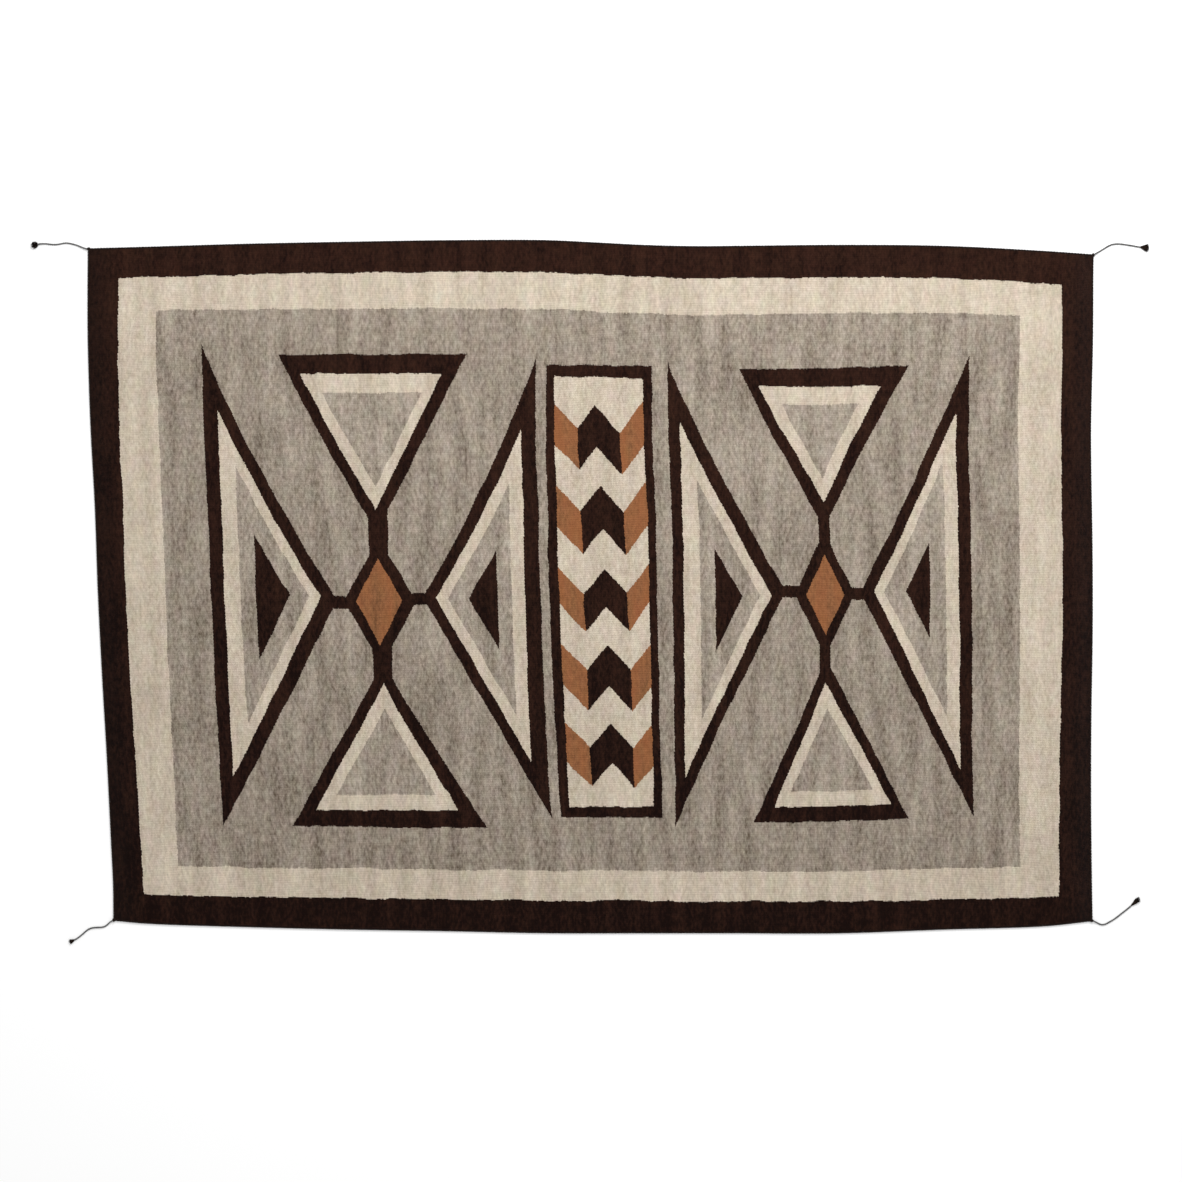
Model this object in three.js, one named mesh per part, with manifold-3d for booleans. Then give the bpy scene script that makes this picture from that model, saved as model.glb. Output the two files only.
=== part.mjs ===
// A handwoven wool rug lying flat, with a twined cord along each edge and a tufted tie at each corner.
// Millimetres, +Z up. The origin is under the middle of the rug, and +X runs along its long side.

import * as THREE from 'three';
import { mergeVertices } from 'three/addons/utils/BufferGeometryUtils.js';
import Module from 'manifold-3d';

const wasm = await Module();
wasm.setup();

// Driving dimensions of the cloth
const CLOTH_THICKNESS = 4.0;
const RIM_THICKNESS = 3.3;
const RIM_WIDTH = 7.0;
const WAVE_HEIGHT = 0.3;
const WAVE_LENGTH_X = 410;
const WAVE_LENGTH_Y = 290;
const CLOTH_COLUMNS = 34;
const CLOTH_ROWS = 24;

// Driving dimensions of the cords, knots and tufts
const EDGE_CORD_DIAMETER = 4.4;
const EDGE_CORD_STEP = 52;
const TIE_DIAMETER = 2.2;
const TIE_LAY = 9.0;
const TIE_STEPS_PER_TURN = 6;
const TIE_PLY_DEPTH = 0.2;
const CORD_SIDES = 8;
const KNOT_RADIUS = 3.35;
const KNOT_CORD_RADIUS = 1.15;
const KNOT_CORE_RADIUS = 2.9;
const KNOT_FLATNESS = 0.9;
const KNOT_INSET = 2.6;
const WRAP_CROSSING = 58;
const TUFT_NECK_RADIUS = 1.1;
const STRAND_RADIUS = 0.6;
const STRAND_TAPER = 0.6;
const STRAND_ROOT_SHARE = 0.75;
const FLARE_FILL = 0.9;
const GAP = 0.3;

// The outline over the edge cords: four corners, then the stations between them along each side
const CORNERS = {
  top_left: { x: -928.3, y: 625.1, outX: -1, outY: 1 },
  top_right: { x: 928.6, y: 614.0, outX: 1, outY: 1 },
  bottom_left: { x: -881.3, y: -616.6, outX: -1, outY: -1 },
  bottom_right: { x: 926.8, y: -617.5, outX: 1, outY: -1 },
};

const SIDES = {
  top: {
    from: 'top_left',
    to: 'top_right',
    inward: -1,
    stations: [
      { x: -822, y: 628.0 },
      { x: -638, y: 633.6 },
      { x: -453, y: 637.3 },
      { x: -269, y: 640.2 },
      { x: -84, y: 640.4 },
      { x: 8, y: 636.2 },
      { x: 100, y: 631.5 },
      { x: 192, y: 629.3 },
      { x: 285, y: 630.0 },
      { x: 469, y: 631.7 },
      { x: 654, y: 629.7 },
      { x: 838, y: 620.4 },
    ],
  },
  bottom: {
    from: 'bottom_left',
    to: 'bottom_right',
    inward: 1,
    stations: [
      { x: -822, y: -622.0 },
      { x: -638, y: -628.4 },
      { x: -453, y: -633.0 },
      { x: -269, y: -636.0 },
      { x: -84, y: -639.7 },
      { x: 100, y: -639.8 },
      { x: 285, y: -639.8 },
      { x: 377, y: -640.4 },
      { x: 469, y: -639.7 },
      { x: 654, y: -633.0 },
      { x: 838, y: -626.9 },
    ],
  },
  left: {
    from: 'bottom_left',
    to: 'top_left',
    inward: -1,
    stations: [
      { x: -881.8, y: -552 },
      { x: -885.5, y: -474 },
      { x: -893.1, y: -320 },
      { x: -902.1, y: -165 },
      { x: -909.9, y: -10 },
      { x: -915.4, y: 145 },
      { x: -923.7, y: 300 },
      { x: -928.5, y: 455 },
      { x: -928.9, y: 533 },
    ],
  },
  right: {
    from: 'bottom_right',
    to: 'top_right',
    inward: 1,
    stations: [
      { x: 925.6, y: -552 },
      { x: 924.0, y: -397 },
      { x: 924.5, y: -242 },
      { x: 926.9, y: -87 },
      { x: 926.7, y: 68 },
      { x: 924.3, y: 223 },
      { x: 924.0, y: 300 },
      { x: 927.5, y: 455 },
      { x: 928.2, y: 580 },
    ],
  },
};

// The ties' centre lines, from the knot at the corner to the tuft
const TIE_ROUTES = {
  top_left: [
    [-929.0, 623.2, 3.1],
    [-933.2, 624.4, 2.7],
    [-937.7, 626.0, 2.0],
    [-944.7, 629.0, 1.4],
    [-950.1, 630.9, 1.2],
    [-955.4, 632.4, 1.2],
    [-960.8, 633.6, 1.2],
    [-966.0, 634.4, 1.2],
    [-970.9, 634.3, 1.2],
    [-976.6, 633.2, 1.2],
    [-983.7, 632.0, 1.2],
    [-990.7, 631.6, 1.2],
    [-999.5, 632.4, 1.2],
    [-1005.4, 633.1, 1.2],
    [-1010.6, 633.2, 1.5],
    [-1015.2, 632.9, 2.2],
    [-1019.4, 632.1, 2.9],
  ],
  top_right: [
    [928.9, 613.1, 3.1],
    [932.9, 615.4, 2.7],
    [936.8, 617.6, 2.0],
    [940.7, 619.8, 1.4],
    [944.4, 622.1, 1.2],
    [948.2, 624.4, 1.2],
    [952.0, 626.8, 1.2],
    [955.9, 629.0, 1.2],
    [959.7, 630.8, 1.2],
    [963.5, 632.0, 1.2],
    [971.2, 632.9, 1.2],
    [978.8, 632.6, 1.2],
    [986.6, 631.5, 1.2],
    [994.1, 630.4, 1.2],
    [1001.7, 629.2, 1.2],
    [1008.0, 627.9, 1.25],
    [1014.6, 626.9, 1.5],
  ],
  bottom_left: [
    [-881.7, -615.7, 3.1],
    [-884.8, -617.4, 2.7],
    [-887.6, -619.3, 2.0],
    [-890.2, -621.8, 1.4],
    [-892.8, -624.2, 1.2],
    [-896.2, -626.6, 1.2],
    [-899.9, -627.9, 1.2],
    [-904.1, -628.5, 1.2],
    [-911.7, -628.8, 1.2],
    [-919.4, -629.6, 1.2],
    [-925.5, -631.5, 1.2],
    [-931.6, -635.6, 1.2],
    [-937.7, -641.0, 1.2],
    [-943.8, -646.1, 1.2],
    [-949.4, -650.0, 1.3],
    [-953.4, -651.9, 1.5],
  ],
  bottom_right: [
    [927.3, -616.4, 3.1],
    [930.3, -617.6, 2.7],
    [932.9, -619.1, 2.0],
    [936.0, -620.8, 1.4],
    [939.2, -622.4, 1.2],
    [943.6, -623.6, 1.2],
    [948.4, -623.1, 1.2],
    [952.2, -621.6, 1.2],
    [955.9, -619.6, 1.2],
    [963.5, -615.2, 1.2],
    [971.2, -609.9, 1.2],
    [978.8, -603.9, 1.2],
    [986.6, -597.8, 1.2],
    [990.4, -594.8, 1.2],
    [994.2, -591.6, 1.25],
    [998.0, -588.2, 1.5],
  ],
};

// The tufts: angle of the flare in degrees either side of its axis, distances from the flare's own
// centre to the fused head's face and to the tips, how far it is pressed flat and tilted up
const TUFTS = {
  top_left: { flare: 140, head: 3.6, reach: 6.2, strands: 40, press: 0.85, tilt: 0 },
  top_right: { flare: 23, head: 10.0, reach: 18.6, strands: 22, press: 0.55, tilt: 10 },
  bottom_left: { flare: 25, head: 7.0, reach: 11.2, strands: 14, press: 0.7, tilt: 10 },
  bottom_right: { flare: 11, head: 15.5, reach: 24.0, strands: 12, press: 0.8, tilt: 8 },
};

function finish(color, roughness) {
  return new THREE.MeshStandardMaterial({ color, roughness, metalness: 0 });
}

function named(name, geometry, material) {
  const mesh = new THREE.Mesh(geometry, material);
  mesh.name = name;
  return mesh;
}

function solidOf(geometry) {
  const bare = geometry.clone();
  bare.deleteAttribute('normal');
  bare.deleteAttribute('uv');
  const merged = mergeVertices(bare, 1e-4);
  const vertProperties = new Float32Array(merged.attributes.position.array);
  const triVerts = new Uint32Array(merged.index.array);
  return new wasm.Manifold(new wasm.Mesh({ numProp: 3, vertProperties, triVerts }));
}

function geometryOf(solid) {
  const mesh = solid.getMesh();
  const geometry = new THREE.BufferGeometry();
  geometry.setAttribute('position', new THREE.BufferAttribute(mesh.vertProperties, mesh.numProp));
  geometry.setIndex(new THREE.BufferAttribute(mesh.triVerts, 1));
  return geometry;
}

function joined(geometries) {
  const [first, ...others] = geometries.map(solidOf);
  return geometryOf(others.reduce((whole, solid) => whole.add(solid), first));
}

// The outline's corner moved inwards by the same distance from both of its sides
function insetCorner(name, inset) {
  const corner = CORNERS[name];
  return new THREE.Vector3(corner.x - corner.outX * inset, corner.y - corner.outY * inset, 0);
}

// A side of the outline moved inwards, with its two ends a given distance short of the corners
function sideCurve(side, inset, short) {
  const stations = side.stations.map(({ x, y }) => new THREE.Vector3(x, y, 0));
  const corners = [CORNERS[side.from], CORNERS[side.to]];
  const [start, end] = corners.map(({ x, y }) => new THREE.Vector3(x, y, 0));
  const points = [start, ...stations, end];
  const moved = points.map((point, i) => {
    const before = points[Math.max(i - 1, 0)];
    const after = points[Math.min(i + 1, points.length - 1)];
    const along = after.clone().sub(before).normalize();
    const across = new THREE.Vector3(-along.y, along.x, 0).multiplyScalar(side.inward * inset);
    const back = i === 0 ? short : i === points.length - 1 ? -short : 0;
    return point.clone().add(across).addScaledVector(along, back);
  });
  return new THREE.CatmullRomCurve3(moved, false, 'centripetal');
}

// The cloth's own edge, which ends in the corners that it shares with the next two sides
function clothEdge(side, inset) {
  const curve = sideCurve(side, inset, 0);
  curve.points[0] = insetCorner(side.from, inset);
  curve.points[curve.points.length - 1] = insetCorner(side.to, inset);
  curve.arcLengthDivisions = 600;
  return curve;
}

// Shares along a side, even but for a narrow first and last step that holds the thin rim
function sharesWithRim(count, length) {
  const rim = RIM_WIDTH / length;
  const shares = [0];
  for (let i = 0; i <= count; i += 1) {
    shares.push(rim + ((1 - 2 * rim) * i) / count);
  }
  shares.push(1);
  return shares;
}

// A point inside the cloth's four edges, blended from all of them
function insidePoint(edges, u, v) {
  const { top, bottom, left, right } = edges;
  const point = bottom.getPointAt(u).multiplyScalar(1 - v);
  point.addScaledVector(top.getPointAt(u), v);
  point.addScaledVector(left.getPointAt(v), 1 - u);
  point.addScaledVector(right.getPointAt(v), u);
  point.addScaledVector(bottom.getPointAt(0), -(1 - u) * (1 - v));
  point.addScaledVector(bottom.getPointAt(1), -u * (1 - v));
  point.addScaledVector(top.getPointAt(0), -(1 - u) * v);
  point.addScaledVector(top.getPointAt(1), -u * v);
  return point;
}

function clothHeight(point, onRim) {
  if (onRim) {
    return RIM_THICKNESS;
  }
  const acrossX = Math.sin((2 * Math.PI * point.x) / WAVE_LENGTH_X + point.y / WAVE_LENGTH_Y);
  const acrossY = Math.sin((2 * Math.PI * point.y) / WAVE_LENGTH_Y - point.x / WAVE_LENGTH_X);
  return CLOTH_THICKNESS + WAVE_HEIGHT * acrossX * acrossY;
}

// Indices of a grid's outer loop, anticlockwise from above
function rimLoop(columns, rows) {
  const at = (i, j) => j * columns + i;
  const loop = [];
  for (let i = 0; i < columns - 1; i += 1) {
    loop.push(at(i, 0));
  }
  for (let j = 0; j < rows - 1; j += 1) {
    loop.push(at(columns - 1, j));
  }
  for (let i = columns - 1; i > 0; i -= 1) {
    loop.push(at(i, rows - 1));
  }
  for (let j = rows - 1; j > 0; j -= 1) {
    loop.push(at(0, j));
  }
  return loop;
}

// Two triangles for each cell of a grid, facing up
function gridFaces(columns, rows) {
  const faces = [];
  for (let j = 0; j < rows - 1; j += 1) {
    for (let i = 0; i < columns - 1; i += 1) {
      const a = j * columns + i;
      const b = a + 1;
      const c = a + columns;
      const d = c + 1;
      faces.push(a, b, d, a, d, c);
    }
  }
  return faces;
}

// The cloth: a flat underside, a gently uneven face and a rim that thins towards the edge cords
function clothGeometry() {
  const inset = EDGE_CORD_DIAMETER + GAP;
  const edges = {};
  for (const [name, side] of Object.entries(SIDES)) {
    edges[name] = clothEdge(side, inset);
  }
  const us = sharesWithRim(CLOTH_COLUMNS, edges.top.getLength());
  const vs = sharesWithRim(CLOTH_ROWS, edges.left.getLength());
  const grid = [];
  vs.forEach((v) => {
    us.forEach((u) => {
      const point = insidePoint(edges, u, v);
      const onRim = u === 0 || u === 1 || v === 0 || v === 1;
      point.z = clothHeight(point, onRim);
      grid.push(point);
    });
  });
  const loop = rimLoop(us.length, vs.length);
  easeCorners(grid, loop);
  const under = loop.map((i) => new THREE.Vector3(grid[i].x, grid[i].y, 0));
  const faces = gridFaces(us.length, vs.length);
  loop.forEach((upper, k) => {
    const next = (k + 1) % loop.length;
    const lower = grid.length + k;
    const lowerNext = grid.length + next;
    faces.push(upper, lower, lowerNext, upper, lowerNext, loop[next]);
  });
  const contour = under.map(({ x, y }) => new THREE.Vector2(x, y));
  for (const [a, b, c] of THREE.ShapeUtils.triangulateShape(contour, [])) {
    faces.push(grid.length + a, grid.length + c, grid.length + b);
  }
  const geometry = new THREE.BufferGeometry().setFromPoints([...grid, ...under]);
  geometry.setIndex(faces);
  return geometry;
}

// Moves the cloth's four corner points in towards its middle, clear of the knots
function easeCorners(grid, loop) {
  const clear = (KNOT_RADIUS + 2 * GAP) / Math.SQRT2;
  for (const [name, corner] of Object.entries(CORNERS)) {
    const knot = insetCorner(name, KNOT_INSET);
    const tip = insetCorner(name, EDGE_CORD_DIAMETER + GAP);
    const nearest = loop.reduce((best, i) =>
      grid[i].distanceToSquared(tip) < grid[best].distanceToSquared(tip) ? i : best,
    );
    grid[nearest].x = knot.x - corner.outX * clear;
    grid[nearest].y = knot.y - corner.outY * clear;
  }
}

// A path whose section turns as it goes, as the plies of a twisted cord do
class LaidPath extends THREE.CatmullRomCurve3 {
  constructor(points, turns) {
    super(points, false, 'centripetal');
    this.turns = turns;
  }

  computeFrenetFrames(segments, closed) {
    const frames = super.computeFrenetFrames(segments, closed);
    frames.tangents.forEach((tangent, i) => {
      const angle = (2 * Math.PI * this.turns * i) / segments;
      frames.normals[i].applyAxisAngle(tangent, angle);
      frames.binormals[i].applyAxisAngle(tangent, angle);
    });
    return frames;
  }
}

// A cord's section: round, or drawn in between its two plies by a share of its radius
function cordSection(radius, plyDepth) {
  const points = [];
  for (let i = 0; i < CORD_SIDES; i += 1) {
    const angle = (2 * Math.PI * i) / CORD_SIDES;
    const reach = radius * (1 - plyDepth + plyDepth * Math.cos(2 * angle));
    points.push(new THREE.Vector2(reach * Math.cos(angle), reach * Math.sin(angle)));
  }
  return new THREE.Shape(points);
}

function edgeCordGeometry(side) {
  const radius = EDGE_CORD_DIAMETER / 2;
  const short = KNOT_INSET + KNOT_RADIUS + GAP;
  const path = sideCurve(side, radius, short);
  path.points.forEach((point) => {
    point.z = radius;
  });
  const steps = Math.round(path.getLength() / EDGE_CORD_STEP);
  return new THREE.ExtrudeGeometry(cordSection(radius, 0), { steps, extrudePath: path });
}

function tieGeometry(route) {
  const points = route.map(([x, y, z]) => new THREE.Vector3(x, y, z));
  const turns = new THREE.CatmullRomCurve3(points, false, 'centripetal').getLength() / TIE_LAY;
  const path = new LaidPath(points, turns);
  const steps = Math.round(turns * TIE_STEPS_PER_TURN);
  const section = cordSection(TIE_DIAMETER / 2, TIE_PLY_DEPTH);
  return new THREE.ExtrudeGeometry(section, { steps, extrudePath: path });
}

// Two crossing wraps of cord around a small core, turned towards the tie
function knotGeometry(name) {
  const ringRadius = KNOT_RADIUS - KNOT_CORD_RADIUS;
  const wrap = new THREE.TorusGeometry(ringRadius, KNOT_CORD_RADIUS, 6, 10).rotateY(Math.PI / 2);
  const crossing = wrap.clone().rotateZ(THREE.MathUtils.degToRad(WRAP_CROSSING));
  const core = new THREE.SphereGeometry(KNOT_CORE_RADIUS, 10, 7);
  const knot = joined([wrap, crossing, core]);
  const [start, next] = TIE_ROUTES[name];
  knot.rotateZ(Math.atan2(next[1] - start[1], next[0] - start[0]));
  knot.scale(1, 1, KNOT_FLATNESS);
  const centre = insetCorner(name, KNOT_INSET);
  knot.computeBoundingBox();
  knot.translate(centre.x, centre.y, -knot.boundingBox.min.z);
  return knot;
}

// The fused head of a tuft, about +Z with the flare's centre at the origin
function headGeometry(tuft) {
  const round = tuft.flare > 90;
  const flare = THREE.MathUtils.degToRad(tuft.flare);
  const from = round ? Math.PI : flare;
  const steps = round ? 6 : 3;
  const profile = [];
  if (!round) {
    const neck = TUFT_NECK_RADIUS / Math.tan(flare);
    profile.push(new THREE.Vector2(0, neck), new THREE.Vector2(TUFT_NECK_RADIUS, neck));
  }
  for (let i = 0; i <= steps; i += 1) {
    const angle = from * (1 - i / steps);
    const across = i === steps || (round && i === 0) ? 0 : tuft.head * Math.sin(angle);
    profile.push(new THREE.Vector2(across, tuft.head * Math.cos(angle)));
  }
  return new THREE.LatheGeometry(profile, 10).rotateX(Math.PI / 2);
}

// One lock of wool from inside the head out to a blunt tip
function strandGeometry(direction, from, to) {
  const tipRadius = STRAND_RADIUS * STRAND_TAPER;
  const geometry = new THREE.CylinderGeometry(tipRadius, STRAND_RADIUS, to - from, 3);
  geometry.translate(0, (from + to) / 2, 0);
  const turn = new THREE.Quaternion().setFromUnitVectors(new THREE.Vector3(0, 1, 0), direction);
  return geometry.applyQuaternion(turn);
}

// Directions spread evenly over the flare, by the golden angle
function strandDirections(tuft) {
  const flare = THREE.MathUtils.degToRad(tuft.flare) * FLARE_FILL;
  const golden = Math.PI * (3 - Math.sqrt(5));
  const directions = [];
  for (let i = 0; i < tuft.strands; i += 1) {
    const height = 1 - ((1 - Math.cos(flare)) * (i + 0.5)) / tuft.strands;
    const across = Math.sqrt(1 - height * height);
    const around = golden * i;
    directions.push(
      new THREE.Vector3(across * Math.cos(around), across * Math.sin(around), height),
    );
  }
  return directions;
}

// A tuft lying on the floor at the end of its tie, its lower locks cut shorter where it is round
function tuftGeometry(name) {
  const tuft = TUFTS[name];
  const round = tuft.flare > 90;
  const route = TIE_ROUTES[name].map(([x, y, z]) => new THREE.Vector3(x, y, z));
  const end = route[route.length - 1];
  const heading = end.clone().sub(route[route.length - 2]).setZ(0).normalize();
  const yaw = Math.atan2(heading.y, heading.x);
  const pitch = THREE.MathUtils.degToRad(tuft.tilt);
  const neck = round ? -tuft.head : TUFT_NECK_RADIUS / Math.tan(THREE.MathUtils.degToRad(tuft.flare));
  const place = new THREE.Matrix4().makeTranslation(
    end.x + heading.x * GAP,
    end.y + heading.y * GAP,
    round ? end.z + GAP : end.z,
  );
  place.multiply(new THREE.Matrix4().makeScale(1, 1, tuft.press));
  place.multiply(new THREE.Matrix4().makeRotationZ(yaw));
  place.multiply(new THREE.Matrix4().makeRotationY(Math.PI / 2 - pitch));
  place.multiply(new THREE.Matrix4().makeTranslation(0, 0, -neck));
  const pieces = [headGeometry(tuft).applyMatrix4(place)];
  for (const direction of strandDirections(tuft)) {
    const reach = strandReach(direction, tuft, place);
    if (reach > tuft.head + STRAND_RADIUS) {
      pieces.push(strandGeometry(direction, tuft.head * STRAND_ROOT_SHARE, reach).applyMatrix4(place));
    }
  }
  return joined(pieces);
}

// How far a lock reaches before it meets the floor
function strandReach(direction, tuft, place) {
  const tip = direction.clone().multiplyScalar(tuft.reach).applyMatrix4(place);
  const root = new THREE.Vector3(0, 0, 0).applyMatrix4(place);
  const lowest = STRAND_RADIUS * STRAND_TAPER;
  if (tip.z >= lowest) {
    return tuft.reach;
  }
  return (tuft.reach * (root.z - lowest)) / (root.z - tip.z);
}

const CLOTH_GREY = finish(0x9a8f83, 0.95);
const EDGE_BROWN = finish(0x2b1b15, 0.92);
const TIE_GREY = finish(0x6d6a68, 0.9);
const TUFT_BLACK = finish(0x1a1411, 0.95);

const rug = new THREE.Group();
rug.add(named('rug_cloth', clothGeometry(), CLOTH_GREY.clone()));
for (const [name, side] of Object.entries(SIDES)) {
  rug.add(named(`edge_cord_${name}`, edgeCordGeometry(side), EDGE_BROWN.clone()));
}
for (const name of Object.keys(CORNERS)) {
  rug.add(named(`corner_knot_${name}`, knotGeometry(name), EDGE_BROWN.clone()));
  rug.add(named(`corner_tie_${name}`, tieGeometry(TIE_ROUTES[name]), TIE_GREY.clone()));
  rug.add(named(`tie_tuft_${name}`, tuftGeometry(name), TUFT_BLACK.clone()));
}

export default rug;
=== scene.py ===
"""A handwoven wool tapestry rug lying flat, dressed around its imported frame.

The warps run along +X and the wefts along Y, so the ribs of the weave run the long way. The design
is woven in five yarns and is worked out from the sizes of its borders, figures and panel.
"""
import logging
import math
from dataclasses import dataclass, field
from enum import Enum

import bpy
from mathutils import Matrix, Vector


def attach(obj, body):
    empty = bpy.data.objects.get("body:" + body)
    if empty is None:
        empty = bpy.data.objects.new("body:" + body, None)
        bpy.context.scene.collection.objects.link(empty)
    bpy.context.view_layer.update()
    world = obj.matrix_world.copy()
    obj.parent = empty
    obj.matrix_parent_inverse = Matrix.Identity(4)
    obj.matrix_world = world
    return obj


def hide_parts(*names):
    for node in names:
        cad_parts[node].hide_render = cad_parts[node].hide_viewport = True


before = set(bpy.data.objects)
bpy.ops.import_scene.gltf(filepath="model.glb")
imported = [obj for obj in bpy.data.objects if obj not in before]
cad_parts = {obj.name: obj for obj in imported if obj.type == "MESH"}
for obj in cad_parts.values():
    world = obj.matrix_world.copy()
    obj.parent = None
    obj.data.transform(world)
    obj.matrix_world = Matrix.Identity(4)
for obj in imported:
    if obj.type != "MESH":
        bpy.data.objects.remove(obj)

LOG = logging.getLogger("rug")
MM = 0.001
BODY = "root"
WHITE = (1.0, 1.0, 1.0, 1.0)
UPWARDS = (0.0, 0.0, 1.0)

Colour = tuple[int, int, int]
Point2 = tuple[float, float]
Point3 = tuple[float, float, float]
Number = bpy.types.NodeSocket | float


class Corner(Enum):
    """The rug's four corners, by the name that their nodes carry."""

    TOP_LEFT = "top_left"
    TOP_RIGHT = "top_right"
    BOTTOM_LEFT = "bottom_left"
    BOTTOM_RIGHT = "bottom_right"


class Side(Enum):
    """The rug's four sides, by the name that their nodes carry."""

    TOP = "top"
    BOTTOM = "bottom"
    LEFT = "left"
    RIGHT = "right"


class Yarn(Enum):
    """The five weft yarns, by the number that stands for each in the cloth's shader."""

    GREY = 0.0
    PALE_GREY = 1.0
    CREAM = 2.0
    DARK = 3.0
    RUST = 4.0


class Slot(Enum):
    """The record's material slots."""

    CLOTH = "woven_wool"
    EDGE = "edge_wool"
    TIE = "tie_wool"
    TUFT = "tuft_wool"


def linear(colour: Colour) -> tuple[float, float, float, float]:
    """Turns a colour as a screen shows it into the linear one that a shader takes.

    Args:
        colour: Its red, green and blue parts, from 0 to 255.

    Returns:
        The linear colour with full alpha.
    """
    knee, slope, offset, power = 0.04045, 12.92, 0.055, 2.4
    parts = [part / 255 for part in colour]
    red_l, green_l, blue_l = (
        part / slope if part <= knee else ((part + offset) / (1 + offset)) ** power
        for part in parts
    )
    return (red_l, green_l, blue_l, 1.0)


def catmull_rom(points: list[Vector], steps: int) -> list[Vector]:
    """Draws a smooth centripetal curve through points.

    Args:
        points: The points that the curve goes through.
        steps: How many steps each span between two points takes.

    Returns:
        The curve's points, the given ones among them.
    """
    first = points[0] * 2 - points[1]
    last = points[-1] * 2 - points[-2]
    knots = [first, *points, last]
    drawn = [points[0].copy()]
    for before, start, end, after in zip(knots, knots[1:], knots[2:], knots[3:]):
        t0 = 0.0
        t1 = t0 + math.sqrt((start - before).length)
        t2 = t1 + math.sqrt((end - start).length)
        t3 = t2 + math.sqrt((after - end).length)
        for step in range(1, steps + 1):
            t = t1 + (t2 - t1) * step / steps
            a1 = before * ((t1 - t) / (t1 - t0)) + start * ((t - t0) / (t1 - t0))
            a2 = start * ((t2 - t) / (t2 - t1)) + end * ((t - t1) / (t2 - t1))
            a3 = end * ((t3 - t) / (t3 - t2)) + after * ((t - t2) / (t3 - t2))
            b1 = a1 * ((t2 - t) / (t2 - t0)) + a2 * ((t - t0) / (t2 - t0))
            b2 = a2 * ((t3 - t) / (t3 - t1)) + a3 * ((t - t1) / (t3 - t1))
            drawn.append(b1 * ((t2 - t) / (t2 - t1)) + b2 * ((t - t1) / (t2 - t1)))
    return drawn


class Polyline:
    """A line through points, read by the share of its length."""

    def __init__(self, points: list[Vector]) -> None:
        """Measures the line.

        Args:
            points: The points that it goes through.
        """
        self.points = points
        self.marks = [0.0]
        for start, end in zip(points, points[1:]):
            self.marks.append(self.marks[-1] + (end - start).length)
        self.length = self.marks[-1]

    def at(self, share: float) -> Vector:
        """Gives the point at a share of the length.

        Args:
            share: From 0 at the start to 1 at the end.

        Returns:
            The point there.
        """
        target = min(max(share, 0.0), 1.0) * self.length
        low, high = 0, len(self.marks) - 1
        while high - low > 1:
            middle = (low + high) // 2
            if self.marks[middle] <= target:
                low = middle
            else:
                high = middle
        span = self.marks[high] - self.marks[low]
        part = (target - self.marks[low]) / span
        return self.points[low].lerp(self.points[high], part)


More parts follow.
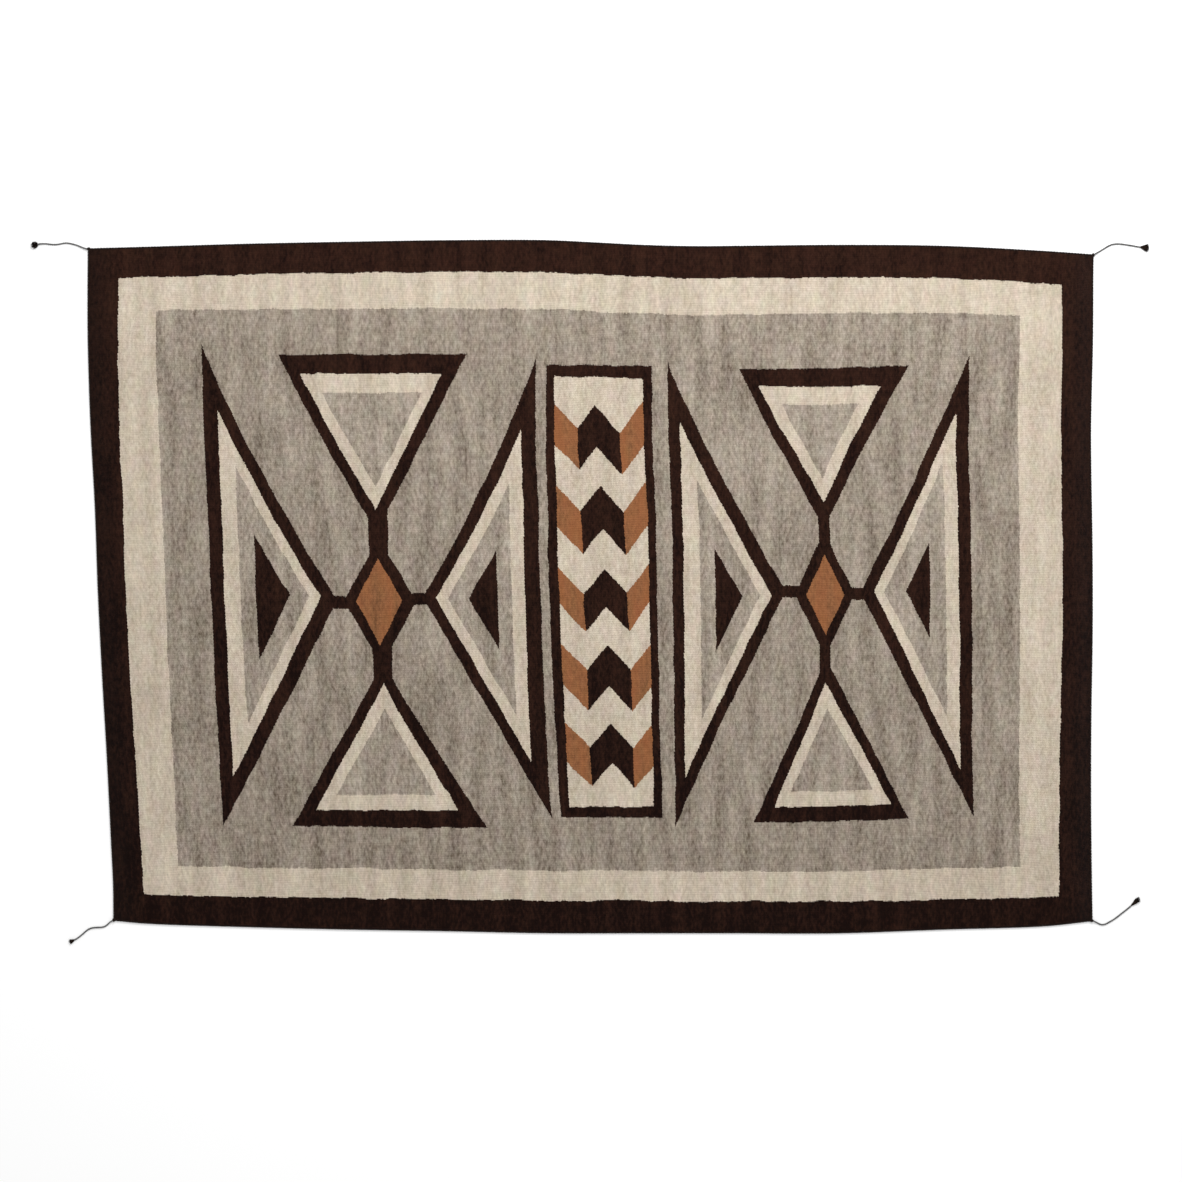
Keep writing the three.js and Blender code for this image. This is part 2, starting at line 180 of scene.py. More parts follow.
@dataclass
class Outline:
    """The rug's outline over its edge cords, in millimetres: its corners and places on each side."""

    corners: dict[Corner, Point2] = field(default_factory=lambda: {
        Corner.TOP_LEFT: (-928.3, 625.1),
        Corner.TOP_RIGHT: (928.6, 614.0),
        Corner.BOTTOM_LEFT: (-881.3, -616.6),
        Corner.BOTTOM_RIGHT: (926.8, -617.5),
    })
    top: tuple[Point2, ...] = (
        (-822, 628.0), (-638, 633.6), (-453, 637.3), (-269, 640.2), (-84, 640.4), (8, 636.2),
        (100, 631.5), (192, 629.3), (285, 630.0), (469, 631.7), (654, 629.7), (838, 620.4),
    )
    bottom: tuple[Point2, ...] = (
        (-822, -622.0), (-638, -628.4), (-453, -633.0), (-269, -636.0), (-84, -639.7),
        (100, -639.8), (285, -639.8), (377, -640.4), (469, -639.7), (654, -633.0), (838, -626.9),
    )
    left: tuple[Point2, ...] = (
        (-881.8, -552), (-885.5, -474), (-893.1, -320), (-902.1, -165), (-909.9, -10),
        (-915.4, 145), (-923.7, 300), (-928.5, 455), (-928.9, 533),
    )
    right: tuple[Point2, ...] = (
        (925.6, -552), (924.0, -397), (924.5, -242), (926.9, -87), (926.7, 68),
        (924.3, 223), (924.0, 300), (927.5, 455), (928.2, 580),
    )
    curve_steps: int = 12

    def outwards(self, corner: Corner) -> Point2:
        """Gives the signs of X and Y that lead out of the rug at a corner."""
        x, y = self.corners[corner]
        return (math.copysign(1.0, x), math.copysign(1.0, y))

    def inset_corner(self, corner: Corner, inset: float) -> Vector:
        """Gives a corner moved inwards from both of its sides.

        Args:
            corner: Which corner.
            inset: How far from each side, in millimetres.

        Returns:
            The point, in millimetres.
        """
        x, y = self.corners[corner]
        out_x, out_y = self.outwards(corner)
        return Vector((x - out_x * inset, y - out_y * inset, 0.0))

    def side(
        self, side: Side, inset: float, short: float = 0.0, to_corners: bool = False
    ) -> Polyline:
        """Draws one side of the outline, moved inwards.

        Args:
            side: Which side.
            inset: How far inwards, in millimetres.
            short: How far the ends stop short of the corners.
            to_corners: Whether the ends lie in the inset corners, which the next sides share.

        Returns:
            The side's line, left to right or bottom to top.
        """
        ends = {
            Side.TOP: (Corner.TOP_LEFT, Corner.TOP_RIGHT, self.top, -1),
            Side.BOTTOM: (Corner.BOTTOM_LEFT, Corner.BOTTOM_RIGHT, self.bottom, 1),
            Side.LEFT: (Corner.BOTTOM_LEFT, Corner.TOP_LEFT, self.left, -1),
            Side.RIGHT: (Corner.BOTTOM_RIGHT, Corner.TOP_RIGHT, self.right, 1),
        }
        start, end, stations, inward = ends[side]
        places = (self.corners[start], *stations, self.corners[end])
        points = [Vector((x, y, 0.0)) for x, y in places]
        moved = []
        last = len(points) - 1
        for index, point in enumerate(points):
            along = (points[min(index + 1, last)] - points[max(index - 1, 0)]).normalized()
            across = Vector((-along.y, along.x, 0.0)) * inward * inset
            back = {0: short, last: -short}.get(index, 0.0)
            moved.append(point + across + along * back)
        if to_corners:
            moved[0] = self.inset_corner(start, inset)
            moved[-1] = self.inset_corner(end, inset)
        return Polyline(catmull_rom(moved, self.curve_steps))


class NodeBuilder:
    """Adds nodes to one tree. Each call but node and put gives back the socket of its result."""

    def __init__(self, tree: bpy.types.NodeTree) -> None:
        """Takes the tree that the nodes go into."""
        self.tree = tree

    def put(self, socket: bpy.types.NodeSocket, value: object) -> None:
        """Links a socket to a result, or sets it to a plain value.

        Args:
            socket: The socket that takes it.
            value: The result's socket or the plain value.
        """
        if isinstance(value, bpy.types.NodeSocket):
            self.tree.links.new(value, socket)
        else:
            socket.default_value = value

    def node(
        self, kind: str, values: dict[object, object] | None = None, **settings: object
    ) -> bpy.types.Node:
        """Adds a node.

        Args:
            kind: The node's type.
            values: Its inputs, by name or index, each a socket or a plain value.
            **settings: The node's own settings, which are set before its inputs.

        Returns:
            The node.
        """
        made = self.tree.nodes.new(kind)
        for label, setting in settings.items():
            setattr(made, label, setting)
        for label, value in (values or {}).items():
            self.put(made.inputs[label], value)
        return made

    def math(
        self, operation: str, first: Number, second: Number = 0.0, third: Number = 0.0
    ) -> Number:
        """Adds a Math node of the given operation."""
        values = {0: first, 1: second, 2: third}
        return self.node("ShaderNodeMath", values, operation=operation).outputs[0]

    def vector(self, operation: str, first: object, second: object = (0.0, 0.0, 0.0)) -> Number:
        """Adds a Vector Math node of the given operation, whose result is a vector or a number."""
        node = self.node("ShaderNodeVectorMath", {0: first, 1: second}, operation=operation)
        return node.outputs["Value" if operation == "DOT_PRODUCT" else "Vector"]

    def scaled(self, vector: Number, factor: Number) -> Number:
        """Scales a vector or a colour by a number."""
        node = self.node("ShaderNodeVectorMath", {0: vector, "Scale": factor}, operation="SCALE")
        return node.outputs["Vector"]

    def join(self, x: Number, y: Number, z: Number = 0.0) -> Number:
        """Combines three numbers into a vector."""
        return self.node("ShaderNodeCombineXYZ", {0: x, 1: y, 2: z}).outputs[0]

    def split(self, vector: Number) -> tuple[Number, Number, Number]:
        """Parts a vector into its three numbers."""
        return tuple(self.node("ShaderNodeSeparateXYZ", {0: vector}).outputs)

    def noise(
        self, place: Number, scale: Number, detail: float = 2.0, output: str = "Fac"
    ) -> Number:
        """Adds a Noise Texture, whose values lie from 0 to 1 around a half.

        Args:
            place: The vector that it is read at.
            scale: Its scale.
            detail: Its detail.
            output: "Fac" for one number, "Color" for three.

        Returns:
            The result's socket.
        """
        node = self.node("ShaderNodeTexNoise", {"Vector": place, "Scale": scale, "Detail": detail})
        return node.outputs[output]


class ShaderBuilder(NodeBuilder):
    """Adds nodes to the tree of one new material."""

    def __init__(self, name: str) -> None:
        """Makes the material with an empty tree and its output.

        Args:
            name: The material's name.
        """
        self.material = bpy.data.materials.new(name)
        self.material.use_nodes = True
        super().__init__(self.material.node_tree)
        self.tree.nodes.clear()
        self.output = self.node("ShaderNodeOutputMaterial")

    def attribute(self, name: str, output: str = "Vector") -> Number:
        """Reads an attribute of the mesh by name."""
        return self.node("ShaderNodeAttribute", attribute_name=name).outputs[output]

    def object_place(self) -> Number:
        """Reads Object coordinates, which are the part's own frame in metres."""
        return self.node("ShaderNodeTexCoord").outputs["Object"]

    def white_noise(self, place: Number) -> Number:
        """Gives each vector a random number of its own."""
        return self.node("ShaderNodeTexWhiteNoise", {"Vector": place}).outputs["Value"]

    def mix(self, factor: Number, first: Number, second: Number) -> Number:
        """Mixes two numbers."""
        values = {0: factor, 2: first, 3: second}
        return self.node("ShaderNodeMix", values, data_type="FLOAT").outputs[0]

    def mix_colours(self, factor: Number, first: object, second: object) -> Number:
        """Mixes two colours, each a socket or a linear colour."""
        values = {0: factor, 6: first, 7: second}
        return self.node("ShaderNodeMix", values, data_type="RGBA").outputs[2]

    def dye(self, factor: Number, dark: Colour, light: Colour) -> Number:
        """Mixes two colours given as a screen shows them."""
        return self.mix_colours(factor, linear(dark), linear(light))

    def stretch(
        self, value: Number, low: float, high: float, to_low: float, to_high: float
    ) -> Number:
        """Maps a range of numbers to another and holds them inside it.

        Args:
            value: The number.
            low: Where its range starts.
            high: Where its range ends.
            to_low: Where the new range starts.
            to_high: Where the new range ends.

        Returns:
            The mapped number's socket.
        """
        values = dict(enumerate((value, low, high, to_low, to_high)))
        return self.node("ShaderNodeMapRange", values).outputs[0]

    def surface(self, values: dict[str, object]) -> bpy.types.Material:
        """Ends the tree in a surface.

        Args:
            values: The surface's inputs by name.

        Returns:
            The finished material.
        """
        shown = self.node("ShaderNodeBsdfPrincipled", values)
        self.put(self.output.inputs["Surface"], shown.outputs[0])
        return self.material

    def wool(self, colour: Number, height: Number, finish: "WoolFinish") -> bpy.types.Material:
        """Ends the tree in a wool surface.

        Args:
            colour: The base colour.
            height: The height of its relief in millimetres.
            finish: The wool's own values.

        Returns:
            The finished material.
        """
        relief = {"Distance": MM, "Strength": finish.relief, "Height": height}
        return self.surface({
            "Base Color": colour,
            "Normal": self.node("ShaderNodeBump", relief).outputs[0],
            "Roughness": finish.roughness,
            "Specular IOR Level": finish.gloss,
            "Sheen Weight": finish.sheen,
            "Sheen Roughness": finish.sheen_roughness,
        })


@dataclass(frozen=True)
class WoolFinish:
    """What all wools here share: a dull surface with a soft sheen."""

    roughness: float = 0.92
    gloss: float = 0.03
    sheen: float = 0.02
    sheen_roughness: float = 0.55
    relief: float = 1.0


@dataclass(frozen=True)
class Edge:
    """One edge of a woven figure, in millimetres of the flat rug.

    start and end are two places on it. The bands inside it are as wide as dark, cream and grey say,
    along X, or along Y for a level edge: one number, or one for each end. bow is how far the middle
    of the edge lies off the straight line, towards +X, or +Y for a level edge.
    """

    start: Point2
    end: Point2
    dark: float | Point2 = 0.0
    cream: float | Point2 = 0.0
    grey: float | Point2 = 0.0
    bow: float = 0.0

    @property
    def level(self) -> bool:
        """Whether the edge runs more along X than along Y."""
        return abs(self.end[0] - self.start[0]) > abs(self.end[1] - self.start[1])

    def inset(self, bands: int) -> Point2:
        """Adds up the bands that lie outside one.

        Args:
            bands: How many there are.

        Returns:
            How far in the next band begins at the edge's start and at its end.
        """
        widths = (self.dark, self.cream, self.grey)[:bands]
        ends = [width if isinstance(width, tuple) else (width, width) for width in widths]
        return (sum(start for start, _ in ends), sum(end for _, end in ends))

    def plane(self, middle: Point2, bands: int) -> tuple[Point3, float]:
        """Works out where a band begins, as a test that is positive on the figure's side.

        Args:
            middle: A place inside the figure.
            bands: How many bands lie outside this one.

        Returns:
            The factors of x, y and 1, then the factor of y squared, or of x squared if level.
        """
        run, rise = (0, 1) if self.level else (1, 0)
        from_run, to_run = self.start[run], self.end[run]
        from_rise, to_rise = self.start[rise], self.end[rise]
        slope = (to_rise - from_rise) / (to_run - from_run)
        sign = 1.0 if middle[rise] > from_rise + slope * (middle[run] - from_run) else -1.0
        inset_start, inset_end = self.inset(bands)
        from_rise += sign * inset_start
        to_rise += sign * inset_end
        slope = (to_rise - from_rise) / (to_run - from_run)
        centre = (from_run + to_run) / 2
        curve = self.bow / ((to_run - from_run) / 2) ** 2
        factors = [0.0, 0.0, 0.0]
        factors[rise] = sign
        factors[run] = -sign * (slope + 2 * curve * centre)
        factors[2] = -sign * (from_rise - slope * from_run + self.bow - curve * centre**2)
        return (factors[0], factors[1], factors[2]), sign * curve


@dataclass(frozen=True)
class Figure:
    """A figure between three or four edges, and the yarns of its bands from the outside in."""

    edges: tuple[Edge, ...]
    yarns: tuple[Yarn, ...]

    @property
    def middle(self) -> Point2:
        """A place inside the figure."""
        places = [place for edge in self.edges for place in (edge.start, edge.end)]
        return (sum(x for x, _ in places) / len(places), sum(y for _, y in places) / len(places))


@dataclass(frozen=True)
class Block:
    """An upright rectangle or a diamond of one yarn, by its middle and half sizes."""

    middle: Point2
    half: Point2
    yarn: Yarn


OUTLINED = (Yarn.DARK, Yarn.CREAM, Yarn.PALE_GREY)
HEARTED = (Yarn.DARK, Yarn.CREAM, Yarn.PALE_GREY, Yarn.DARK)

# The border: the cream band in the dark ground, then the grey field in the cream
BORDERS = (
    Figure(
        (
            Edge((-863, 565), (-862, -565), bow=-5.5),
            Edge((862, 560), (856.5, -565), bow=4),
            Edge((-862, 568.5), (862, 564)),
            Edge((-862, -570.5), (862, -571), bow=5),
        ),
        (Yarn.CREAM,),
    ),
    Figure(
        (
            Edge((-794, 508), (-795.5, -515)),
            Edge((785, 500), (784, -513)),
            Edge((-794, 506.5), (782, 503.5), bow=-5.5),
            Edge((-794, -516.5), (783, -513), bow=3),
        ),
        (Yarn.GREY,),
    ),
)

# Each wing: its upright base from tip to tip, then its slanted edges from the tips to the point
WINGS = (
    Figure(
        (
            Edge((-712, 428), (-707, -441), (27, 24), (27, 32), 29, bow=-1.5),
            Edge((-695.5, 400), (-494, 0), (23, 27), 19.5, 34.5, bow=-9.5),
            Edge((-690, -410), (-491.5, -50), (28.5, 32.5), 22.5, (32, 35.5), bow=2.5),
        ),
        HEARTED,
    ),
    Figure(
        (
            Edge((-100.5, 398), (-92, -420), (26, 31.5), 24.5, 26, bow=-5.5),
            Edge((-104.5, 400), (-307, 0), 24.5, 22.5, 39, bow=12),
            Edge((-96.5, -410), (-308.5, -40), 23, 22.5, 39.5),
        ),
        HEARTED,
    ),
    Figure(
        (
            Edge((141.5, 406), (140, -421), (21.5, 18.5), (28, 33.5), 27, bow=2.5),
            Edge((153, 385), (351, 0), (23, 31), (18.5, 21.5), (44.5, 33.5), bow=-8),
            Edge((152, -405), (343, -20), 22, (16, 21), 32, bow=-2.5),
        ),
        HEARTED,
    ),
    Figure(
        (
            Edge((693.5, 412), (698.5, -417), 23.5, (25.5, 22.5), (26.5, 33), bow=-1),
            Edge((681, 395), (503.5, 20), (20.5, 24), (13.5, 19), 39.5, bow=5),
            Edge((694.5, -410), (496, -20), (16.5, 27), (27.5, 18), 40),
        ),
        HEARTED,
    ),
)

# Each half of an hourglass: its level base, then its slanted edges towards the diamond
HALVES = (
    Figure(
        (
            Edge((-560, 420), (-240, 419.5), (33, 37.5), (36, 33.5), bow=1),
            Edge((-566.5, 410), (-430, 145), 23, (19.5, 26), bow=-2),
            Edge((-232.5, 410), (-376.5, 145), (27, 23.5), 20, bow=2.5),
        ),
        OUTLINED,
    ),
    Figure(
        (
            Edge((-560, -437.5), (-225, -436), 31, 27.5, bow=-0.5),
            Edge((-569.5, -425), (-424.5, -185), (27, 23.5), (22, 28)),
            Edge((-219, -425), (-370, -185), (33.5, 22.5), (26.5, 21.5), bow=-3.5),
        ),
        OUTLINED,
    ),
    Figure(
        (
            Edge((285, 401), (565, 405), (31, 37), 32.5, bow=-1.5),
            Edge((276.5, 392), (408.5, 140), (19, 27.5), (26.5, 21), bow=-2),
            Edge((575.5, 392), (438, 140), (32, 22.5), 24, bow=-1),
        ),
        OUTLINED,
    ),
    Figure(
        (
            Edge((300, -423.5), (570, -419.5), 28, 28),
            Edge((291, -412), (414, -150), (27.5, 17), (17, 24.5), bow=2),
            Edge((573, -412), (437.5, -150), (17.5, 24.5), (17, 25.5), bow=1),
        ),
        OUTLINED,
    ),
)

# The necks and bars that tie each diamond to its figures
LINKS = (
    Block((-398.7, 98), (18.2, 60), Yarn.DARK),
    Block((-397.5, -150), (18, 60), Yarn.DARK),
    Block((-463, -29), (30, 11), Yarn.DARK),
    Block((-331, -24.7), (30, 10.8), Yarn.DARK),
    Block((423.5, 108), (10.5, 62), Yarn.DARK),
    Block((423, -132), (10, 60), Yarn.DARK),
    Block((358, -3.8), (24, 10.2), Yarn.DARK),
    Block((488, -8), (24, 11), Yarn.DARK),
)

# The diamonds, each dark one below its rust heart
DIAMONDS = (
    Block((-398.5, -27.5), (67.5, 115), Yarn.DARK),
    Block((-400.5, -27), (42.5, 79), Yarn.RUST),
    Block((423.5, -8.5), (55, 113), Yarn.DARK),
    Block((424.5, -10), (35, 73.5), Yarn.RUST),
)

# The middle panel: its dark frame, then its cream ground
PANEL_FRAME = Figure(
    (
        Edge((-80.5, 400), (-74, -415), bow=-8),
        Edge((112.5, 400), (116, -415)),
        Edge((-80, 401), (112, 405.5), bow=-1),
        Edge((-75, -414.5), (117, -413.5), bow=-0.5),
    ),
    (Yarn.DARK,),
)
PANEL_GROUND = Figure(
    (
        Edge((-66.5, 380), (-57, -395), bow=-5.5),
        Edge((95.5, 380), (100.5, -395), bow=1.6),
        Edge((-68, 380.5), (96, 380.5), bow=-0.5),
        Edge((-60, -397), (100, -393.5)),
    ),
    (Yarn.CREAM,),
)


@dataclass(frozen=True)
class Flank:
    """One side of a zigzag's peak: how far out and how deep its valley is, and its climb beyond."""

    reach: float
    depth: float
    climb: float

    @property
    def steepness(self) -> float:
        """How much the band falls for each step outwards from the peak."""
        return self.depth / self.reach


@dataclass(frozen=True)
class ZigzagRow:
    """One zigzag band of the panel, by its peak, its height along Y and its two sides."""

    peak: Point2
    height: float
    left: Flank
    right: Flank


@dataclass(frozen=True)
class Zigzags:
    """The panel's zigzag bands from the top down, and how far they lean."""

    lean: float = -0.03
    rows: tuple[ZigzagRow, ...] = (
        ZigzagRow((7.0, 330.5), 76.5, Flank(34.5, 41.5, 0.97), Flank(43, 48.5, 1.25)),
        ZigzagRow((14.5, 184.5), 77.5, Flank(40.5, 46, 1.05), Flank(39.5, 46, 1.3)),
        ZigzagRow((17.5, 34), 68.5, Flank(41, 45.5, 1.07), Flank(40, 42.5, 1.3)),
        ZigzagRow((19.5, -102.5), 75, Flank(40, 45.5, 1.02), Flank(41, 44, 1.15)),
        ZigzagRow((22.5, -244.5), 72, Flank(40, 42.5, 0.95), Flank(39.5, 43.5, 1.08)),
    )


@dataclass(frozen=True)
class WeaveSizes:
    """The weave's own sizes in millimetres, and how far a hand strays from a straight line.

    Three kinds of straying add up, the slow drift, the shorter wander and the teeth of single
    stitches, each with its reach and its wave. jitter moves each stitch by chance.
    """

    ribs: int = 388
    stitch: float = 1.06
    drift_x: float = 2.4
    drift_y: float = 2.4
    drift_wave: float = 95.0
    wander_x: float = 2.2
    wander_y: float = 3.2
    wander_wave: float = 36.0
    teeth: float = 2.6
    teeth_wave: float = 12.0
    teeth_squash: float = 0.1
    jitter: float = 1.2


@dataclass(frozen=True)
class ClothFinish:
    """The colours of the yarns, and how each changes over the cloth. Lengths are in millimetres.

    dyes gives each yarn its darkest and its lightest colour, and rust_red is what patches of the
    rust yarn turn to. Streaks, flecks, columns and single stitches add up to one number by their
    shares, which heather_low and heather_high bring to the range from dark to light. The grading
    along x and y is painted light: the yarns grow lighter towards the top and the right, and the
    dark yarn darker towards the bottom, as the light falls on the rug.
    """

    wool: WoolFinish = WoolFinish()
    dyes: tuple[tuple[Yarn, Colour, Colour], ...] = (
        (Yarn.GREY, (99, 86, 73), (193, 180, 164)),
        (Yarn.PALE_GREY, (108, 95, 82), (200, 187, 171)),
        (Yarn.CREAM, (176, 161, 142), (230, 216, 196)),
        (Yarn.DARK, (24, 12, 9), (58, 35, 26)),
        (Yarn.RUST, (114, 76, 50), (176, 120, 80)),
    )
    rust_red: Colour = (147, 88, 54)
    red_low: float = 0.35
    red_high: float = 0.65
    red_share: float = 0.6
    streak_share: float = 1.15
    column_share: float = 0.95
    fleck_share: float = 0.5
    stitch_share: float = 0.14
    heather_low: float = 0.9
    heather_high: float = 1.83
    streak_width: float = 5.0
    streak_length: float = 12.0
    fleck_width: float = 1.8
    fleck_length: float = 5.0
    column_width: float = 26.0
    column_length: float = 150.0
    tint_width: float = 16.0
    tint_length: float = 30.0
    tint_depth: float = 0.14
    # Painted light: how much lighter the yarns grow towards the right and towards the top.
    painted_light_x: float = 0.02
    painted_light_y: float = 0.045
    dark_depth: float = 0.36
    dark_range: float = 1.3
    # Painted light: how much lighter the dark yarn grows towards the top and darker towards the
    # bottom.
    dark_painted_light: float = 0.14
    half_length: float = 920.0
    half_width: float = 625.0
    stitch_lean: float = 0.35
    # Painted shade: how dark the colour grows in the rib valleys and in the seams between stitches.
    valley_shade: float = 0.95
    valley_share: float = 0.6
    seam_shade: float = 0.94
    seam_share: float = 0.5
    fibres_x: float = 5.5
    fibres_y: float = 1.1
    stitch_relief: float = 0.30
    rib_relief: float = 0.25
    fibre_relief: float = 0.16
    uneven_relief: float = 0.10


class WovenDesign:
    """Works out which yarn lies at each place of the flat rug, as one number."""

    def __init__(self, shader: ShaderBuilder, place: Number) -> None:
        """Reads the place to test.

        Args:
            shader: The material being built.
            place: A vector of x, y and 1, in millimetres.
        """
        self.shader = shader
        self.place = place
        self.x, self.y, _ = shader.split(place)
        self.x_squared = shader.math("MULTIPLY", self.x, self.x)
        self.y_squared = shader.math("MULTIPLY", self.y, self.y)

    def over(self, yarn: Number, inside: Number, new: Yarn) -> Number:
        """Lays a new yarn over what is there, where inside is 1."""
        return self.shader.mix(inside, yarn, new.value)

    def edge_test(self, edge: Edge, middle: Point2, bands: int) -> Number:
        """Tests the place against a band's edge.

        Args:
            edge: The figure's edge.
            middle: A place inside the figure.
            bands: How many bands lie outside this one.

        Returns:
            A number that is positive on the figure's side.
        """
        factors, curve = edge.plane(middle, bands)
        test = self.shader.vector("DOT_PRODUCT", self.place, factors)
        if curve:
            square = self.x_squared if edge.level else self.y_squared
            test = self.shader.math("MULTIPLY_ADD", square, curve, test)
        return test

    def inside(self, shape: Figure, bands: int = 0) -> Number:
        """Tests the place against all edges of a figure's band.

        Args:
            shape: The figure.
            bands: How many bands lie outside this one.

        Returns:
            1 inside the band and 0 outside.
        """
        nearest = self.edge_test(shape.edges[0], shape.middle, bands)
        for edge in shape.edges[1:]:
            test = self.edge_test(edge, shape.middle, bands)
            nearest = self.shader.math("MINIMUM", nearest, test)
        return self.shader.math("GREATER_THAN", nearest, 0.0)

    def figure(self, yarn: Number, shape: Figure) -> Number:
        """Lays a figure and the bands inside it.

        Args:
            yarn: The yarn's number so far.
            shape: The figure.

        Returns:
            The yarn's number with the figure.
        """
        for bands, new in enumerate(shape.yarns):
            yarn = self.over(yarn, self.inside(shape, bands), new)
        return yarn

    def away(self, block: Block) -> Number:
        """Gives how far the place is from a block's middle, along x and along y."""
        centred = self.shader.vector("SUBTRACT", self.place, (*block.middle, 1.0))
        return self.shader.vector("ABSOLUTE", centred)

    def rectangle(self, yarn: Number, block: Block) -> Number:
        """Lays an upright rectangle.

        Args:
            yarn: The yarn's number so far.
            block: The rectangle.

        Returns:
            The yarn's number with the rectangle.
        """
        beyond = self.shader.vector("SUBTRACT", self.away(block), (*block.half, 0.0))
        x, y, _ = self.shader.split(beyond)
        inside = self.shader.math("LESS_THAN", self.shader.math("MAXIMUM", x, y), 0.0)
        return self.over(yarn, inside, block.yarn)

    def diamond(self, yarn: Number, block: Block) -> Number:
        """Lays a diamond.

        Args:
            yarn: The yarn's number so far.
            block: The diamond.

        Returns:
            The yarn's number with the diamond.
        """
        shares = (1 / block.half[0], 1 / block.half[1], 0.0)
        reach = self.shader.vector("DOT_PRODUCT", self.away(block), shares)
        return self.over(yarn, self.shader.math("LESS_THAN", reach, 1.0), block.yarn)

    def zigzag(self, filled: Number, row: ZigzagRow, upright: Number, lean: float) -> Number:
        """Lays one zigzag band of the panel: dark below its peak, rust beside it.

        Args:
            filled: The number of the panel's yarn so far.
            row: The band.
            upright: The place's x with the panel's lean taken out.
            lean: The panel's lean.

        Returns:
            The yarn's number with the band.
        """
        shader = self.shader
        x, y = row.peak
        centred = shader.math("SUBTRACT", upright, x - lean * y)
        away = shader.math("ABSOLUTE", centred)
        on_right = shader.math("GREATER_THAN", centred, 0.0)
        reach = shader.mix(on_right, row.left.reach, row.right.reach)
        climb = shader.mix(on_right, row.left.climb, row.right.climb)
        steepness = shader.mix(on_right, row.left.steepness, row.right.steepness)
        beyond = shader.math("MAXIMUM", shader.math("SUBTRACT", away, reach), 0.0)
        fall = shader.math("MULTIPLY", shader.math("MINIMUM", away, reach), steepness)
        drop = shader.math("SUBTRACT", fall, shader.math("MULTIPLY", beyond, climb))
        height = shader.math("ADD", self.y, drop)
        band = shader.math("COMPARE", height, y - row.height / 2, row.height / 2)
        below_peak = shader.math("LESS_THAN", away, reach)
        banded = shader.mix(below_peak, Yarn.RUST.value, Yarn.DARK.value)
        return shader.mix(band, filled, banded)

    def panel(self, yarn: Number, zigzags: Zigzags) -> Number:
        """Lays the middle panel with its zigzag bands.

        Args:
            yarn: The yarn's number so far.
            zigzags: The bands.

        Returns:
            The yarn's number with the panel.
        """
        yarn = self.figure(yarn, PANEL_FRAME)
        upright = self.shader.math("MULTIPLY_ADD", self.y, -zigzags.lean, self.x)
        filled: Number = Yarn.CREAM.value
        for row in zigzags.rows:
            filled = self.zigzag(filled, row, upright, zigzags.lean)
        return self.shader.mix(self.inside(PANEL_GROUND), yarn, filled)

    def yarn(self) -> Number:
        """Builds the whole design.

        Returns:
            The yarn's number.
        """
        yarn: Number = Yarn.DARK.value
        for figure in (*BORDERS, *WINGS):
            yarn = self.figure(yarn, figure)
        for link in LINKS:
            yarn = self.rectangle(yarn, link)
        for figure in HALVES:
            yarn = self.figure(yarn, figure)
        for diamond in DIAMONDS:
            yarn = self.diamond(yarn, diamond)
        return self.panel(yarn, Zigzags())


